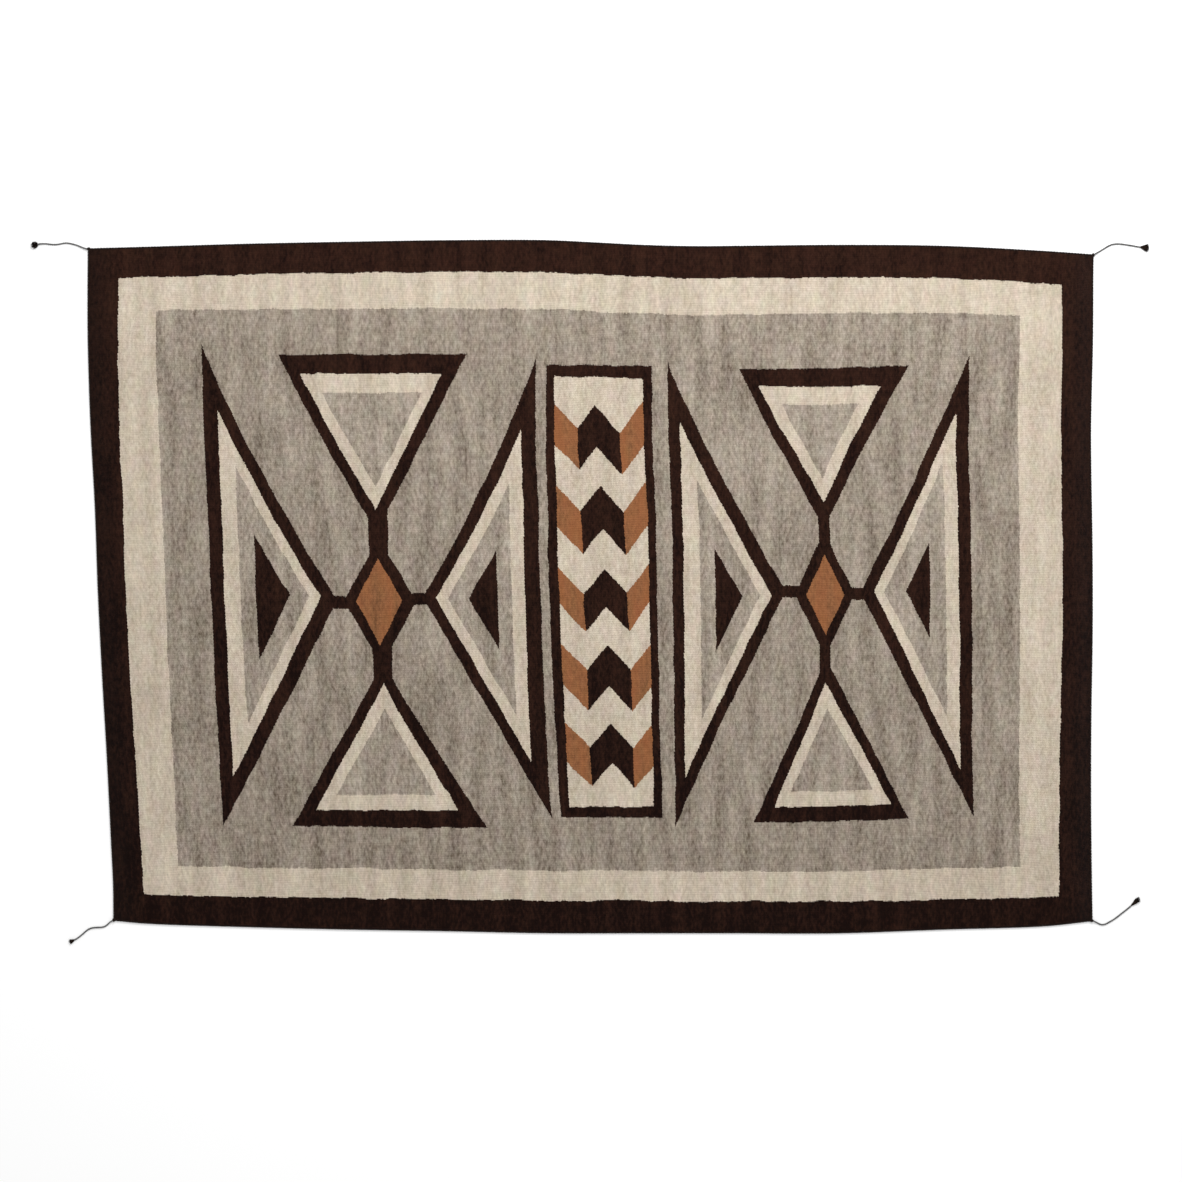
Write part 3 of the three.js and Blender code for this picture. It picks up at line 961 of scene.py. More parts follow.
@dataclass
class Cloth:
    """The woven cloth: one closed sheet whose ribs are real and whose stitches are in its finish.

    Lengths are in millimetres. Its flat map holds the underside below map_split, the face above it
    and the rim in a strip of map_rim between them, with map_gap of the strip left free on each side.
    """

    outline: Outline
    weave: WeaveSizes = WeaveSizes()
    finish: ClothFinish = ClothFinish()
    inset: float = 3.3
    flat_length: float = 1840.0
    flat_width: float = 1250.0
    thickness: float = 4.0
    rim_thickness: float = 3.3
    wave_height: float = 0.3
    wave_length_x: float = 410.0
    wave_length_y: float = 290.0
    columns: int = 28
    rows_per_rib: int = 4
    valley: float = 0.34
    unevenness: float = 0.22
    strand_length: float = 160.0
    least_depth: float = 0.55
    swell_scale: float = 0.012
    map_split: float = 0.34
    map_rim: float = 0.01
    map_gap: float = 0.2
    seed: float = 3.0

    @property
    def length(self) -> float:
        """The cloth's own flat length in millimetres, inside its edge cords."""
        return self.flat_length - 2 * self.inset

    @property
    def width(self) -> float:
        """The cloth's own flat width in millimetres, inside its edge cords."""
        return self.flat_width - 2 * self.inset

    @property
    def pitch(self) -> float:
        """The distance from rib to rib in millimetres."""
        return self.width / self.weave.ribs

    def surface_height(self, x: float, y: float) -> float:
        """Gives the top of the cloth at a place, all in millimetres.

        Args:
            x: The place along the rug.
            y: The place across it.

        Returns:
            Its height.
        """
        across_x = math.sin(2 * math.pi * x / self.wave_length_x + y / self.wave_length_y)
        across_y = math.sin(2 * math.pi * y / self.wave_length_y - x / self.wave_length_x)
        return self.thickness + self.wave_height * across_x * across_y

    def patch(self) -> list[list[Vector]]:
        """Blends the cloth's four edges into rows of places.

        Returns:
            One row for each quarter of a rib, bottom to top, in millimetres.
        """
        edges = {side: self.outline.side(side, self.inset, to_corners=True) for side in Side}
        rows = self.weave.ribs * self.rows_per_rib
        top = [edges[Side.TOP].at(i / self.columns) for i in range(self.columns + 1)]
        bottom = [edges[Side.BOTTOM].at(i / self.columns) for i in range(self.columns + 1)]
        corners = [edges[side].at(share) for side in (Side.BOTTOM, Side.TOP) for share in (0, 1)]
        low_left, low_right, high_left, high_right = corners
        places = []
        for j in range(rows + 1):
            v = j / rows
            left, right = edges[Side.LEFT].at(v), edges[Side.RIGHT].at(v)
            row = []
            for i in range(self.columns + 1):
                u = i / self.columns
                place = bottom[i] * (1 - v) + top[i] * v + left * (1 - u) + right * u
                place -= (low_left * (1 - u) + low_right * u) * (1 - v)
                place -= (high_left * (1 - u) + high_right * u) * v
                row.append(place)
            places.append(row)
        return places

    def sheet_mesh(self) -> bpy.types.Object:
        """Builds the closed sheet, still smooth, with the places that its ribs and finish read.

        Returns:
            The object, whose mesh has rib_phase, face_side and flat_mm on its points.
        """
        patch = self.patch()
        rows, columns = len(patch), self.columns + 1
        points, phases, sides, flats = [], [], [], []
        for side in (1, -1):
            for j, row in enumerate(patch):
                for i, place in enumerate(row):
                    on_rim = i in (0, columns - 1) or j in (0, rows - 1)
                    high = self.rim_thickness if on_rim else self.surface_height(place.x, place.y)
                    low = self.thickness - self.rim_thickness if on_rim else 0.0
                    z = high if side > 0 else low
                    points.append((place.x * MM, place.y * MM, z * MM))
                    phases.append((j % self.rows_per_rib) / self.rows_per_rib)
                    sides.append(0.0 if on_rim else float(side))
                    x = (i / self.columns - 0.5) * self.length
                    y = (j / (rows - 1) - 0.5) * self.width
                    flats.extend((x, y, 0.0))
        under = rows * columns
        faces, map_places = [], []
        for j in range(rows - 1):
            for i in range(columns - 1):
                a = j * columns + i
                b, c, d = a + 1, a + columns + 1, a + columns
                faces.append((a, b, c, d))
                faces.append((under + d, under + c, under + b, under + a))
                left, right = i / self.columns, (i + 1) / self.columns
                low, high = j / (rows - 1), (j + 1) / (rows - 1)
                around = ((left, low), (right, low), (right, high), (left, high))
                for u, v in around:
                    map_places.extend((u, self.map_split + (1 - self.map_split) * v))
                for u, v in reversed(around):
                    map_places.extend((u, (self.map_split - self.map_rim) * v))
        loop = list(range(columns - 1))
        loop += [j * columns + columns - 1 for j in range(rows - 1)]
        loop += [(rows - 1) * columns + i for i in range(columns - 1, 0, -1)]
        loop += [j * columns for j in range(rows - 1, 0, -1)]
        rim_low = self.map_split - self.map_rim * (1 - self.map_gap)
        rim_high = self.map_split - self.map_rim * self.map_gap
        for number, (here, there) in enumerate(zip(loop, loop[1:] + loop[:1])):
            faces.append((there, here, under + here, under + there))
            left, right = number / len(loop), (number + 1) / len(loop)
            map_places.extend((right, rim_high, left, rim_high, left, rim_low, right, rim_low))
        mesh = bpy.data.meshes.new("rug_cloth_sheet")
        mesh.from_pydata(points, [], faces)
        mesh.attributes.new("rib_phase", "FLOAT", "POINT").data.foreach_set("value", phases)
        mesh.attributes.new("face_side", "FLOAT", "POINT").data.foreach_set("value", sides)
        mesh.attributes.new("flat_mm", "FLOAT_VECTOR", "POINT").data.foreach_set("vector", flats)
        mesh.uv_layers.new(name="OFBake").data.foreach_set("uv", map_places)
        mesh.polygons.foreach_set("use_smooth", [True] * len(mesh.polygons))
        return link_object("rug_cloth_woven", mesh)

    def build(self) -> bpy.types.Object:
        """Builds the woven cloth with its ribs and finish.

        Returns:
            The finished object.
        """
        return apply_tree(self.sheet_mesh(), rib_tree(), {
            "Valley": self.valley * MM,
            "Unevenness": self.unevenness * MM,
            "Rib Pitch": self.pitch,
            "Strand Length": self.strand_length,
            "Least Depth": self.least_depth,
            "Swell Scale": self.swell_scale,
            "Seed": self.seed,
            "Material": self.material(),
        })

    def material(self) -> bpy.types.Material:
        """Builds the cloth's finish: the design on stitches, its yarns, painted shade in the rib
        valleys and between stitches, and the stitches' relief.

        Returns:
            The material.
        """
        weave, finish = self.weave, self.finish
        shader = ShaderBuilder("woven_wool_finish")
        x, y, _ = shader.split(shader.attribute("flat_mm"))
        rib_place = shader.math("DIVIDE", shader.math("ADD", y, self.width / 2), self.pitch)
        rib = shader.math("FLOOR", rib_place)
        phase = shader.math("FRACT", rib_place)
        odd = shader.math("MULTIPLY", shader.math("MODULO", rib, 2.0), 0.5)
        lean = shader.math("MULTIPLY", shader.math("SUBTRACT", phase, 0.5), finish.stitch_lean)
        stitch_place = shader.math("ADD", shader.math("DIVIDE", x, weave.stitch), odd)
        stitch_place = shader.math("ADD", stitch_place, lean)
        stitch = shader.math("FLOOR", stitch_place)
        across = shader.math("FRACT", stitch_place)
        chance = shader.white_noise(shader.join(stitch, rib))
        woven_x = shader.math("MULTIPLY", stitch, weave.stitch)
        half_rib = shader.math("FLOOR", shader.math("MULTIPLY", rib_place, 2.0))
        first_y = self.pitch / 4 - self.width / 2
        woven_y = shader.math("MULTIPLY_ADD", half_rib, self.pitch / 2, first_y)
        woven_y = shader.math("MULTIPLY_ADD", chance, weave.jitter, woven_y)
        yarn = WovenDesign(shader, self.strayed(shader, woven_x, woven_y)).yarn()
        colour = self.yarn_colours(shader, x, y, yarn, chance)
        valley = shader.math("SINE", shader.math("MULTIPLY", phase, math.pi))
        seam = shader.math("SINE", shader.math("MULTIPLY", across, math.pi))
        # Painted shade: the colour is darkened in the rib valleys and in the seams between stitches,
        # where shade falls.
        shade = shader.math(
            "MULTIPLY",
            shader.stretch(valley, 0.0, finish.valley_share, finish.valley_shade, 1.0),
            shader.stretch(seam, 0.0, finish.seam_share, finish.seam_shade, 1.0),
        )
        fine_x = shader.math("MULTIPLY", x, finish.fibres_x)
        fine_y = shader.math("MULTIPLY", y, finish.fibres_y)
        fibres = shader.noise(shader.join(fine_x, fine_y), 1.0)
        height = shader.math("MULTIPLY", seam, finish.stitch_relief)
        height = shader.math("MULTIPLY_ADD", valley, finish.rib_relief, height)
        height = shader.math("MULTIPLY_ADD", fibres, finish.fibre_relief, height)
        height = shader.math("MULTIPLY_ADD", chance, finish.uneven_relief, height)
        return shader.wool(shader.scaled(colour, shade), height, finish.wool)

    def strayed(self, shader: ShaderBuilder, x: Number, y: Number) -> Number:
        """Moves a stitch's place as a weaver's hand does, before the design is read there.

        Args:
            shader: The material being built.
            x: The stitch's place along the rug, in millimetres.
            y: The stitch's place across it.

        Returns:
            A vector of the moved x, the moved y and 1.
        """
        weave = self.weave
        flat = shader.join(x, y)
        slow_x, slow_y, _ = shader.split(shader.noise(flat, 1 / weave.drift_wave, 1.0, "Color"))
        short_x, short_y, _ = shader.split(shader.noise(flat, 1 / weave.wander_wave, 1.0, "Color"))
        level = shader.join(x, shader.math("MULTIPLY", y, weave.teeth_squash))
        teeth = shader.noise(level, 1 / weave.teeth_wave)
        new_x = shader.math("MULTIPLY_ADD", slow_x, 2 * weave.drift_x, x)
        new_x = shader.math("MULTIPLY_ADD", short_x, 2 * weave.wander_x, new_x)
        new_y = shader.math("MULTIPLY_ADD", slow_y, 2 * weave.drift_y, y)
        new_y = shader.math("MULTIPLY_ADD", short_y, 2 * weave.wander_y, new_y)
        new_y = shader.math("MULTIPLY_ADD", teeth, 2 * weave.teeth, new_y)
        mean_y = weave.drift_y + weave.wander_y + weave.teeth + weave.jitter / 2
        new_x = shader.math("SUBTRACT", new_x, weave.drift_x + weave.wander_x)
        new_y = shader.math("SUBTRACT", new_y, mean_y)
        return shader.join(new_x, new_y, 1.0)

    def yarn_colours(
        self, shader: ShaderBuilder, x: Number, y: Number, yarn: Number, chance: Number
    ) -> Number:
        """Colours the yarns, each with the streaks and bands of hand-carded wool, and with painted
        light that makes them lighter towards the top and the right and darker towards the bottom.

        Args:
            shader: The material being built.
            x: The place along the rug, in millimetres.
            y: The place across it.
            yarn: The yarn's number.
            chance: A random number for each stitch.

        Returns:
            The colour's socket.
        """
        finish = self.finish
        streaks = self.grain(shader, x, y, finish.streak_width, finish.streak_length)
        flecks = self.grain(shader, x, y, finish.fleck_width, finish.fleck_length)
        columns = self.grain(shader, x, y, finish.column_width, finish.column_length)
        heather = shader.math("MULTIPLY", columns, finish.column_share)
        heather = shader.math("MULTIPLY_ADD", streaks, finish.streak_share, heather)
        heather = shader.math("MULTIPLY_ADD", flecks, finish.fleck_share, heather)
        heather = shader.math("MULTIPLY_ADD", chance, finish.stitch_share, heather)
        soft = shader.stretch(heather, finish.heather_low, finish.heather_high, 0.0, 1.0)
        # Painted light: the yarns grow lighter towards the top and the right, and the dark yarn
        # darker towards the bottom, as the light falls on the rug.
        soft = shader.math("MULTIPLY_ADD", y, finish.painted_light_y / finish.half_width, soft)
        soft = shader.math("MULTIPLY_ADD", x, finish.painted_light_x / finish.half_length, soft)
        darkest = finish.dark_depth - finish.dark_range / 2
        deep = shader.math("MULTIPLY_ADD", soft, finish.dark_range, darkest)
        deep = shader.math("MULTIPLY_ADD", y, finish.dark_painted_light / finish.half_width, deep)
        red = shader.stretch(columns, finish.red_low, finish.red_high, 0.0, finish.red_share)
        paints = {
            kind: shader.dye(deep if kind is Yarn.DARK else soft, dark, light)
            for kind, dark, light in finish.dyes
        }
        paints[Yarn.RUST] = shader.mix_colours(red, paints[Yarn.RUST], linear(finish.rust_red))
        colour = paints.pop(Yarn.GREY)
        for kind, paint in paints.items():
            there = shader.math("GREATER_THAN", yarn, kind.value - 0.5)
            colour = shader.mix_colours(there, colour, paint)
        tint = self.grain(shader, x, y, finish.tint_width, finish.tint_length, "Color")
        depth, rest = finish.tint_depth, 1 - finish.tint_depth / 2
        tint = shader.vector("MULTIPLY", tint, (depth, depth, depth))
        tint = shader.vector("ADD", tint, (rest, rest, rest))
        return shader.vector("MULTIPLY", colour, tint)

    @staticmethod
    def grain(
        shader: ShaderBuilder, x: Number, y: Number, width: float, length: float, output: str = "Fac"
    ) -> Number:
        """Gives a noise whose grain has the given width along x and length along y."""
        place = shader.join(shader.math("DIVIDE", x, width), shader.math("DIVIDE", y, length))
        return shader.noise(place, 1.0, output=output)


def link_object(name: str, data: bpy.types.ID) -> bpy.types.Object:
    """Makes an object and puts it in the scene.

    Args:
        name: The object's name.
        data: Its mesh, camera or light.

    Returns:
        The object.
    """
    made = bpy.data.objects.new(name, data)
    bpy.context.scene.collection.objects.link(made)
    return made


class TreeBuilder(NodeBuilder):
    """Adds nodes to one new Geometry Nodes tree with named inputs."""

    def __init__(self, name: str, inputs: dict[str, str]) -> None:
        """Makes the tree and its sockets.

        Args:
            name: The tree's name.
            inputs: Each input's name and type, between the geometry and the material.
        """
        super().__init__(bpy.data.node_groups.new(name, "GeometryNodeTree"))
        face = self.tree.interface
        face.new_socket("Geometry", in_out="OUTPUT", socket_type="NodeSocketGeometry")
        for label, kind in {"Geometry": "Geometry", **inputs, "Material": "Material"}.items():
            face.new_socket(label, in_out="INPUT", socket_type=f"NodeSocket{kind}")
        self.inputs = self.node("NodeGroupInput").outputs
        self.end = self.node("NodeGroupOutput")

    def named(self, name: str, kind: str = "FLOAT") -> Number:
        """Reads a named attribute."""
        node = self.node("GeometryNodeInputNamedAttribute", {"Name": name}, data_type=kind)
        return node.outputs[0]

    def mark(self, geometry: Number, name: str, value: Number) -> Number:
        """Stores a number on each point.

        Args:
            geometry: What the points belong to.
            name: The name that the number is stored under.
            value: The number.

        Returns:
            The marked geometry.
        """
        values = {"Geometry": geometry, "Name": name, "Value": value}
        kind = "GeometryNodeStoreNamedAttribute"
        return self.node(kind, values, data_type="FLOAT", domain="POINT").outputs[0]

    def moved(self, geometry: Number, offset: Number) -> Number:
        """Moves each point by an offset."""
        values = {"Geometry": geometry, "Offset": offset}
        return self.node("GeometryNodeSetPosition", values).outputs[0]

    def finish(self, geometry: Number) -> bpy.types.NodeTree:
        """Ends the tree in Realize Instances, smooth shading and Set Material.

        Args:
            geometry: What the tree has made.

        Returns:
            The tree.
        """
        real = self.node("GeometryNodeRealizeInstances", {"Geometry": geometry})
        smooth = self.node("GeometryNodeSetShadeSmooth", {"Geometry": real.outputs[0]})
        values = {"Geometry": smooth.outputs[0], "Material": self.inputs["Material"]}
        self.put(self.end.inputs[0], self.node("GeometryNodeSetMaterial", values).outputs[0])
        return self.tree


def apply_tree(
    made: bpy.types.Object, tree: bpy.types.NodeTree, values: dict[str, object]
) -> bpy.types.Object:
    """Runs a Geometry Nodes tree on an object and keeps the result as its plain mesh.

    Args:
        made: The object, whose mesh the tree takes.
        tree: The tree.
        values: Its inputs by name.

    Returns:
        The same object, without the modifier.
    """
    modifier = made.modifiers.new("shape", "NODES")
    modifier.node_group = tree
    for item in tree.interface.items_tree:
        if item.in_out == "INPUT" and item.name in values:
            modifier[item.identifier] = values[item.name]
    bpy.context.view_layer.update()
    evaluated = made.evaluated_get(bpy.context.evaluated_depsgraph_get())
    mesh = bpy.data.meshes.new_from_object(evaluated)
    made.modifiers.remove(modifier)
    old = made.data
    made.data = mesh
    mesh.name = made.name
    bpy.data.meshes.remove(old)
    return made


def rib_tree() -> bpy.types.NodeTree:
    """Builds the tree that raises the cloth's ribs, each a little higher or lower than the next.

    Returns:
        The tree.
    """
    build = TreeBuilder("raised_ribs", {
        "Valley": "Float",
        "Unevenness": "Float",
        "Rib Pitch": "Float",
        "Strand Length": "Float",
        "Least Depth": "Float",
        "Swell Scale": "Float",
        "Seed": "Float",
    })
    inputs = build.inputs
    side = build.named("face_side")
    flat = build.named("flat_mm", "FLOAT_VECTOR")
    arch = build.math("SINE", build.math("MULTIPLY", build.named("rib_phase"), math.pi))
    low = build.math("SUBTRACT", 1.0, arch)
    x, y, _ = build.split(flat)
    rib = build.math("FLOOR", build.math("DIVIDE", y, inputs["Rib Pitch"]))
    strand = build.join(build.math("DIVIDE", x, inputs["Strand Length"]), rib, inputs["Seed"])
    uneven = build.math("ADD", inputs["Least Depth"], build.noise(strand, 1.0, 1.0))
    depth = build.math("MULTIPLY", inputs["Valley"], uneven)
    sunk = build.math("MULTIPLY", build.math("MULTIPLY", low, depth), side)
    swell = build.math("SUBTRACT", build.noise(flat, inputs["Swell Scale"]), 0.5)
    swell = build.math("MULTIPLY", build.math("MULTIPLY", swell, inputs["Unevenness"]), 2.0)
    on_top = build.math("GREATER_THAN", side, 0.5)
    z = build.math("SUBTRACT", build.math("MULTIPLY", swell, on_top), sunk)
    return build.finish(build.moved(inputs["Geometry"], build.join(0.0, 0.0, z)))


def cord_tree() -> bpy.types.NodeTree:
    """Builds the tree that lays twisted plies along a line.

    Returns:
        The tree.
    """
    build = TreeBuilder("plied_cord", {
        "Plies": "Int",
        "Cord Radius": "Float",
        "Ply Radius": "Float",
        "Lay": "Float",
        "Step": "Float",
        "Sides": "Int",
    })
    inputs = build.inputs
    line = build.node("GeometryNodeMeshToCurve", {"Mesh": inputs["Geometry"]})
    even = build.node(
        "GeometryNodeResampleCurve",
        {"Curve": line.outputs[0], "Length": inputs["Step"]},
        mode="LENGTH",
    )
    plies = build.node(
        "GeometryNodeDuplicateElements",
        {"Geometry": even.outputs[0], "Amount": inputs["Plies"]},
        domain="SPLINE",
    )
    along = build.node("GeometryNodeSplineParameter").outputs["Length"]
    turns = build.math("DIVIDE", along, inputs["Lay"])
    start = build.math("DIVIDE", plies.outputs["Duplicate Index"], inputs["Plies"])
    angle = build.math("MULTIPLY", build.math("ADD", turns, start), math.tau)
    tangent = build.node("GeometryNodeInputTangent").outputs[0]
    sideways = build.vector("NORMALIZE", build.vector("CROSS_PRODUCT", tangent, UPWARDS))
    upwards = build.vector("CROSS_PRODUCT", sideways, tangent)
    turned = build.vector(
        "ADD",
        build.scaled(sideways, build.math("COSINE", angle)),
        build.scaled(upwards, build.math("SINE", angle)),
    )
    reach = build.math("SUBTRACT", inputs["Cord Radius"], inputs["Ply Radius"])
    marked = build.mark(plies.outputs["Geometry"], "along", along)
    wound = build.moved(marked, build.scaled(turned, reach))
    ring = build.node(
        "GeometryNodeCurvePrimitiveCircle",
        {"Resolution": inputs["Sides"], "Radius": inputs["Ply Radius"]},
    )
    around = build.node("GeometryNodeSplineParameter").outputs["Factor"]
    tube = build.node("GeometryNodeCurveToMesh", {
        "Curve": wound,
        "Profile Curve": build.mark(ring.outputs[0], "around", around),
        "Fill Caps": True,
    })
    return build.finish(tube.outputs[0])


def line_mesh(name: str, points: list[Vector]) -> bpy.types.Mesh:
    """Makes a mesh of one line.

    Args:
        name: The mesh's name.
        points: The line's points in metres.

    Returns:
        The mesh.
    """
    mesh = bpy.data.meshes.new(name)
    links = [(i, i + 1) for i in range(len(points) - 1)]
    mesh.from_pydata([tuple(point) for point in points], links, [])
    return mesh


@dataclass(frozen=True)
class CordFinish:
    """A plied cord's wool: its two colours, and how its fibres twist, cloud and stand out."""

    name: str
    light: Colour
    dark: Colour
    wool: WoolFinish = WoolFinish()
    fibre_turns: float = 0.35
    fibres_around: float = 2.2
    fibres_along: float = 0.22
    fibre_scale: float = 1.6
    fibre_detail: float = 3.0
    fibre_share: float = 0.7
    fibre_relief: float = 0.25
    cloud_scale: float = 90.0
    cloud_share: float = 0.6
    blend_low: float = 0.4
    blend_high: float = 0.9

    def material(self) -> bpy.types.Material:
        """Builds the finish.

        Returns:
            The material.
        """
        shader = ShaderBuilder(self.name)
        along = shader.math("MULTIPLY", shader.attribute("along", "Fac"), 1 / MM)
        around = shader.attribute("around", "Fac")
        turn = shader.math("MULTIPLY_ADD", along, self.fibre_turns, around)
        angle = shader.math("MULTIPLY", turn, math.tau)
        place = shader.join(
            shader.math("MULTIPLY", shader.math("COSINE", angle), self.fibres_around),
            shader.math("MULTIPLY", shader.math("SINE", angle), self.fibres_around),
            shader.math("MULTIPLY", along, self.fibres_along),
        )
        fibres = shader.noise(place, self.fibre_scale, self.fibre_detail)
        cloud = shader.noise(shader.object_place(), self.cloud_scale)
        blend = shader.math("MULTIPLY", fibres, self.fibre_share)
        blend = shader.math("MULTIPLY_ADD", cloud, self.cloud_share, blend)
        blend = shader.stretch(blend, self.blend_low, self.blend_high, 0.0, 1.0)
        height = shader.math("MULTIPLY", fibres, self.fibre_relief)
        return shader.wool(shader.dye(blend, self.dark, self.light), height, self.wool)


EDGE_FINISH = CordFinish("edge_wool_finish", (46, 35, 31), (20, 14, 12))
TIE_FINISH = CordFinish("tie_wool_finish", (118, 117, 116), (60, 60, 60))
TUFT_FINISH = CordFinish("tuft_wool_finish", (48, 36, 30), (16, 12, 10))


@dataclass(frozen=True)
class PliedCord:
    """The sizes of a plied cord in millimetres. step is how far apart its rings of faces stand."""

    radius: float
    ply_radius: float
    lay: float
    step: float
    sides: int
    plies: int = 2

    def lay_along(
        self, made: bpy.types.Object, tree: bpy.types.NodeTree, material: bpy.types.Material
    ) -> None:
        """Turns an object's line into the cord.

        Args:
            made: The object, whose mesh is the line.
            tree: The tree that lays plies.
            material: The cord's finish.
        """
        apply_tree(made, tree, {
            "Plies": self.plies,
            "Cord Radius": self.radius * MM,
            "Ply Radius": self.ply_radius * MM,
            "Lay": self.lay * MM,
            "Step": self.step * MM,
            "Sides": self.sides,
            "Material": material,
        })


@dataclass
class EdgeCords:
    """The twined cords along the four sides."""

    outline: Outline
    tree: bpy.types.NodeTree
    finish: CordFinish = EDGE_FINISH
    cord: PliedCord = PliedCord(radius=2.2, ply_radius=1.276, lay=11.0, step=11.0 / 9, sides=6)
    short: float = 3.0
    line_steps: int = 160

    def build(self) -> list[bpy.types.Object]:
        """Builds one cord for each side.

        Returns:
            The four cords.
        """
        material = self.finish.material()
        radius = self.cord.radius
        cords = []
        for side in Side:
            line = self.outline.side(side, radius, self.short)
            places = [line.at(step / self.line_steps) for step in range(self.line_steps + 1)]
            points = [Vector((place.x * MM, place.y * MM, radius * MM)) for place in places]
            name = f"edge_cord_{side.value}"
            made = link_object(f"{name}_twined", line_mesh(name, points))
            self.cord.lay_along(made, self.tree, material)
            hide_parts(name)
            cords.append(dressed(made, Slot.EDGE))
        return cords


@dataclass
class CornerKnots:
    """The knot at each corner, where two edge cords are tied together."""

    outline: Outline
    tree: bpy.types.NodeTree
    finish: CordFinish = EDGE_FINISH
    cord: PliedCord = PliedCord(radius=1.2, ply_radius=0.7, lay=5.0, step=0.45, sides=8)
    inset: float = 1.7
    height: float = 3.05
    loop: float = 0.92
    rise: float = 0.95
    steps: int = 120

    def build(self) -> list[bpy.types.Object]:
        """Builds the knots.

        Returns:
            The four knots.
        """
        material = self.finish.material()
        knots = []
        for corner in Corner:
            name = f"corner_knot_{corner.value}"
            centre = self.outline.inset_corner(corner, self.inset)
            out_x, out_y = self.outline.outwards(corner)
            turn = math.atan2(out_y, out_x)
            made = link_object(f"{name}_tied", line_mesh(name, self.line(centre, turn)))
            self.cord.lay_along(made, self.tree, material)
            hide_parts(name)
            knots.append(dressed(made, Slot.EDGE))
        return knots

    def line(self, centre: Vector, turn: float) -> list[Vector]:
        """Draws the knot's line: three loops that pass over and under each other.

        Args:
            centre: The knot's middle, in millimetres.
            turn: The angle that it is turned by.

        Returns:
            The line's points in metres.
        """
        points = []
        for step in range(self.steps + 1):
            t = math.tau * step / self.steps
            x = (math.sin(t) + 2 * math.sin(2 * t)) * self.loop
            y = (math.cos(t) - 2 * math.cos(2 * t)) * self.loop
            z = -math.sin(3 * t) * self.rise
            turned_x = x * math.cos(turn) - y * math.sin(turn)
            turned_y = x * math.sin(turn) + y * math.cos(turn)
            place = Vector((centre.x + turned_x, centre.y + turned_y, self.height + z))
            points.append(place * MM)
        return points


def dressed(made: bpy.types.Object, slot: Slot) -> bpy.types.Object:
    """Gives a piece its body, and logs its faces and its slot.

    Args:
        made: The piece.
        slot: Its slot.

    Returns:
        The same piece.
    """
    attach(made, BODY)
    LOG.info("%s: %d faces, finish %s", made.name, len(made.data.polygons), slot.value)
    return made


# The ties' centre lines in millimetres, from the knot at the corner to the tuft
TIE_ROUTES: dict[Corner, tuple[Point3, ...]] = {
    Corner.TOP_LEFT: (
        (-929.0, 623.2, 3.1), (-933.2, 624.4, 2.7), (-937.7, 626.0, 2.0), (-944.7, 629.0, 1.4),
        (-950.1, 630.9, 1.2), (-955.4, 632.4, 1.2), (-960.8, 633.6, 1.2), (-966.0, 634.4, 1.2),
        (-970.9, 634.3, 1.2), (-976.6, 633.2, 1.2), (-983.7, 632.0, 1.2), (-990.7, 631.6, 1.2),
        (-999.5, 632.4, 1.2), (-1005.4, 633.1, 1.2), (-1010.6, 633.2, 1.5), (-1015.2, 632.9, 2.2),
        (-1019.4, 632.1, 2.9),
    ),
    Corner.TOP_RIGHT: (
        (928.9, 613.1, 3.1), (932.9, 615.4, 2.7), (936.8, 617.6, 2.0), (940.7, 619.8, 1.4),
        (944.4, 622.1, 1.2), (948.2, 624.4, 1.2), (952.0, 626.8, 1.2), (955.9, 629.0, 1.2),
        (959.7, 630.8, 1.2), (963.5, 632.0, 1.2), (971.2, 632.9, 1.2), (978.8, 632.6, 1.2),
        (986.6, 631.5, 1.2), (994.1, 630.4, 1.2), (1001.7, 629.2, 1.2), (1008.0, 627.9, 1.25),
        (1014.6, 626.9, 1.5),
    ),
    Corner.BOTTOM_LEFT: (
        (-881.7, -615.7, 3.1), (-884.8, -617.4, 2.7), (-887.6, -619.3, 2.0), (-890.2, -621.8, 1.4),
        (-892.8, -624.2, 1.2), (-896.2, -626.6, 1.2), (-899.9, -627.9, 1.2), (-904.1, -628.5, 1.2),
        (-911.7, -628.8, 1.2), (-919.4, -629.6, 1.2), (-925.5, -631.5, 1.2), (-931.6, -635.6, 1.2),
        (-937.7, -641.0, 1.2), (-943.8, -646.1, 1.2), (-949.4, -650.0, 1.3), (-953.4, -651.9, 1.5),
    ),
    Corner.BOTTOM_RIGHT: (
        (927.3, -616.4, 3.1), (930.3, -617.6, 2.7), (932.9, -619.1, 2.0), (936.0, -620.8, 1.4),
        (939.2, -622.4, 1.2), (943.6, -623.6, 1.2), (948.4, -623.1, 1.2), (952.2, -621.6, 1.2),
        (955.9, -619.6, 1.2), (963.5, -615.2, 1.2), (971.2, -609.9, 1.2), (978.8, -603.9, 1.2),
        (986.6, -597.8, 1.2), (990.4, -594.8, 1.2), (994.2, -591.6, 1.25), (998.0, -588.2, 1.5),
    ),
}


@dataclass(frozen=True)
class TuftShape:
    """One tuft: its flare and tilt in degrees, its lengths in millimetres and its strands.

    reach is how long its strands are and ahead how far past the tie's end they leave from. press
    flattens it, and rounding shortens its outer strands.
    """

    flare: float
    reach: float
    ahead: float
    press: float
    tilt: float
    rounding: float
    strands: int


TUFTS: dict[Corner, TuftShape] = {
    Corner.TOP_LEFT: TuftShape(180, 7.1, 8.2, 0.72, 0, 0.0, 480),
    Corner.TOP_RIGHT: TuftShape(28, 17.4, 0.5, 0.5, 6, 0.12, 460),
    Corner.BOTTOM_LEFT: TuftShape(28, 11.2, 0.5, 0.65, 6, 0.25, 240),
    Corner.BOTTOM_RIGHT: TuftShape(15, 21.6, 0.5, 0.75, 4, 0.2, 340),
}


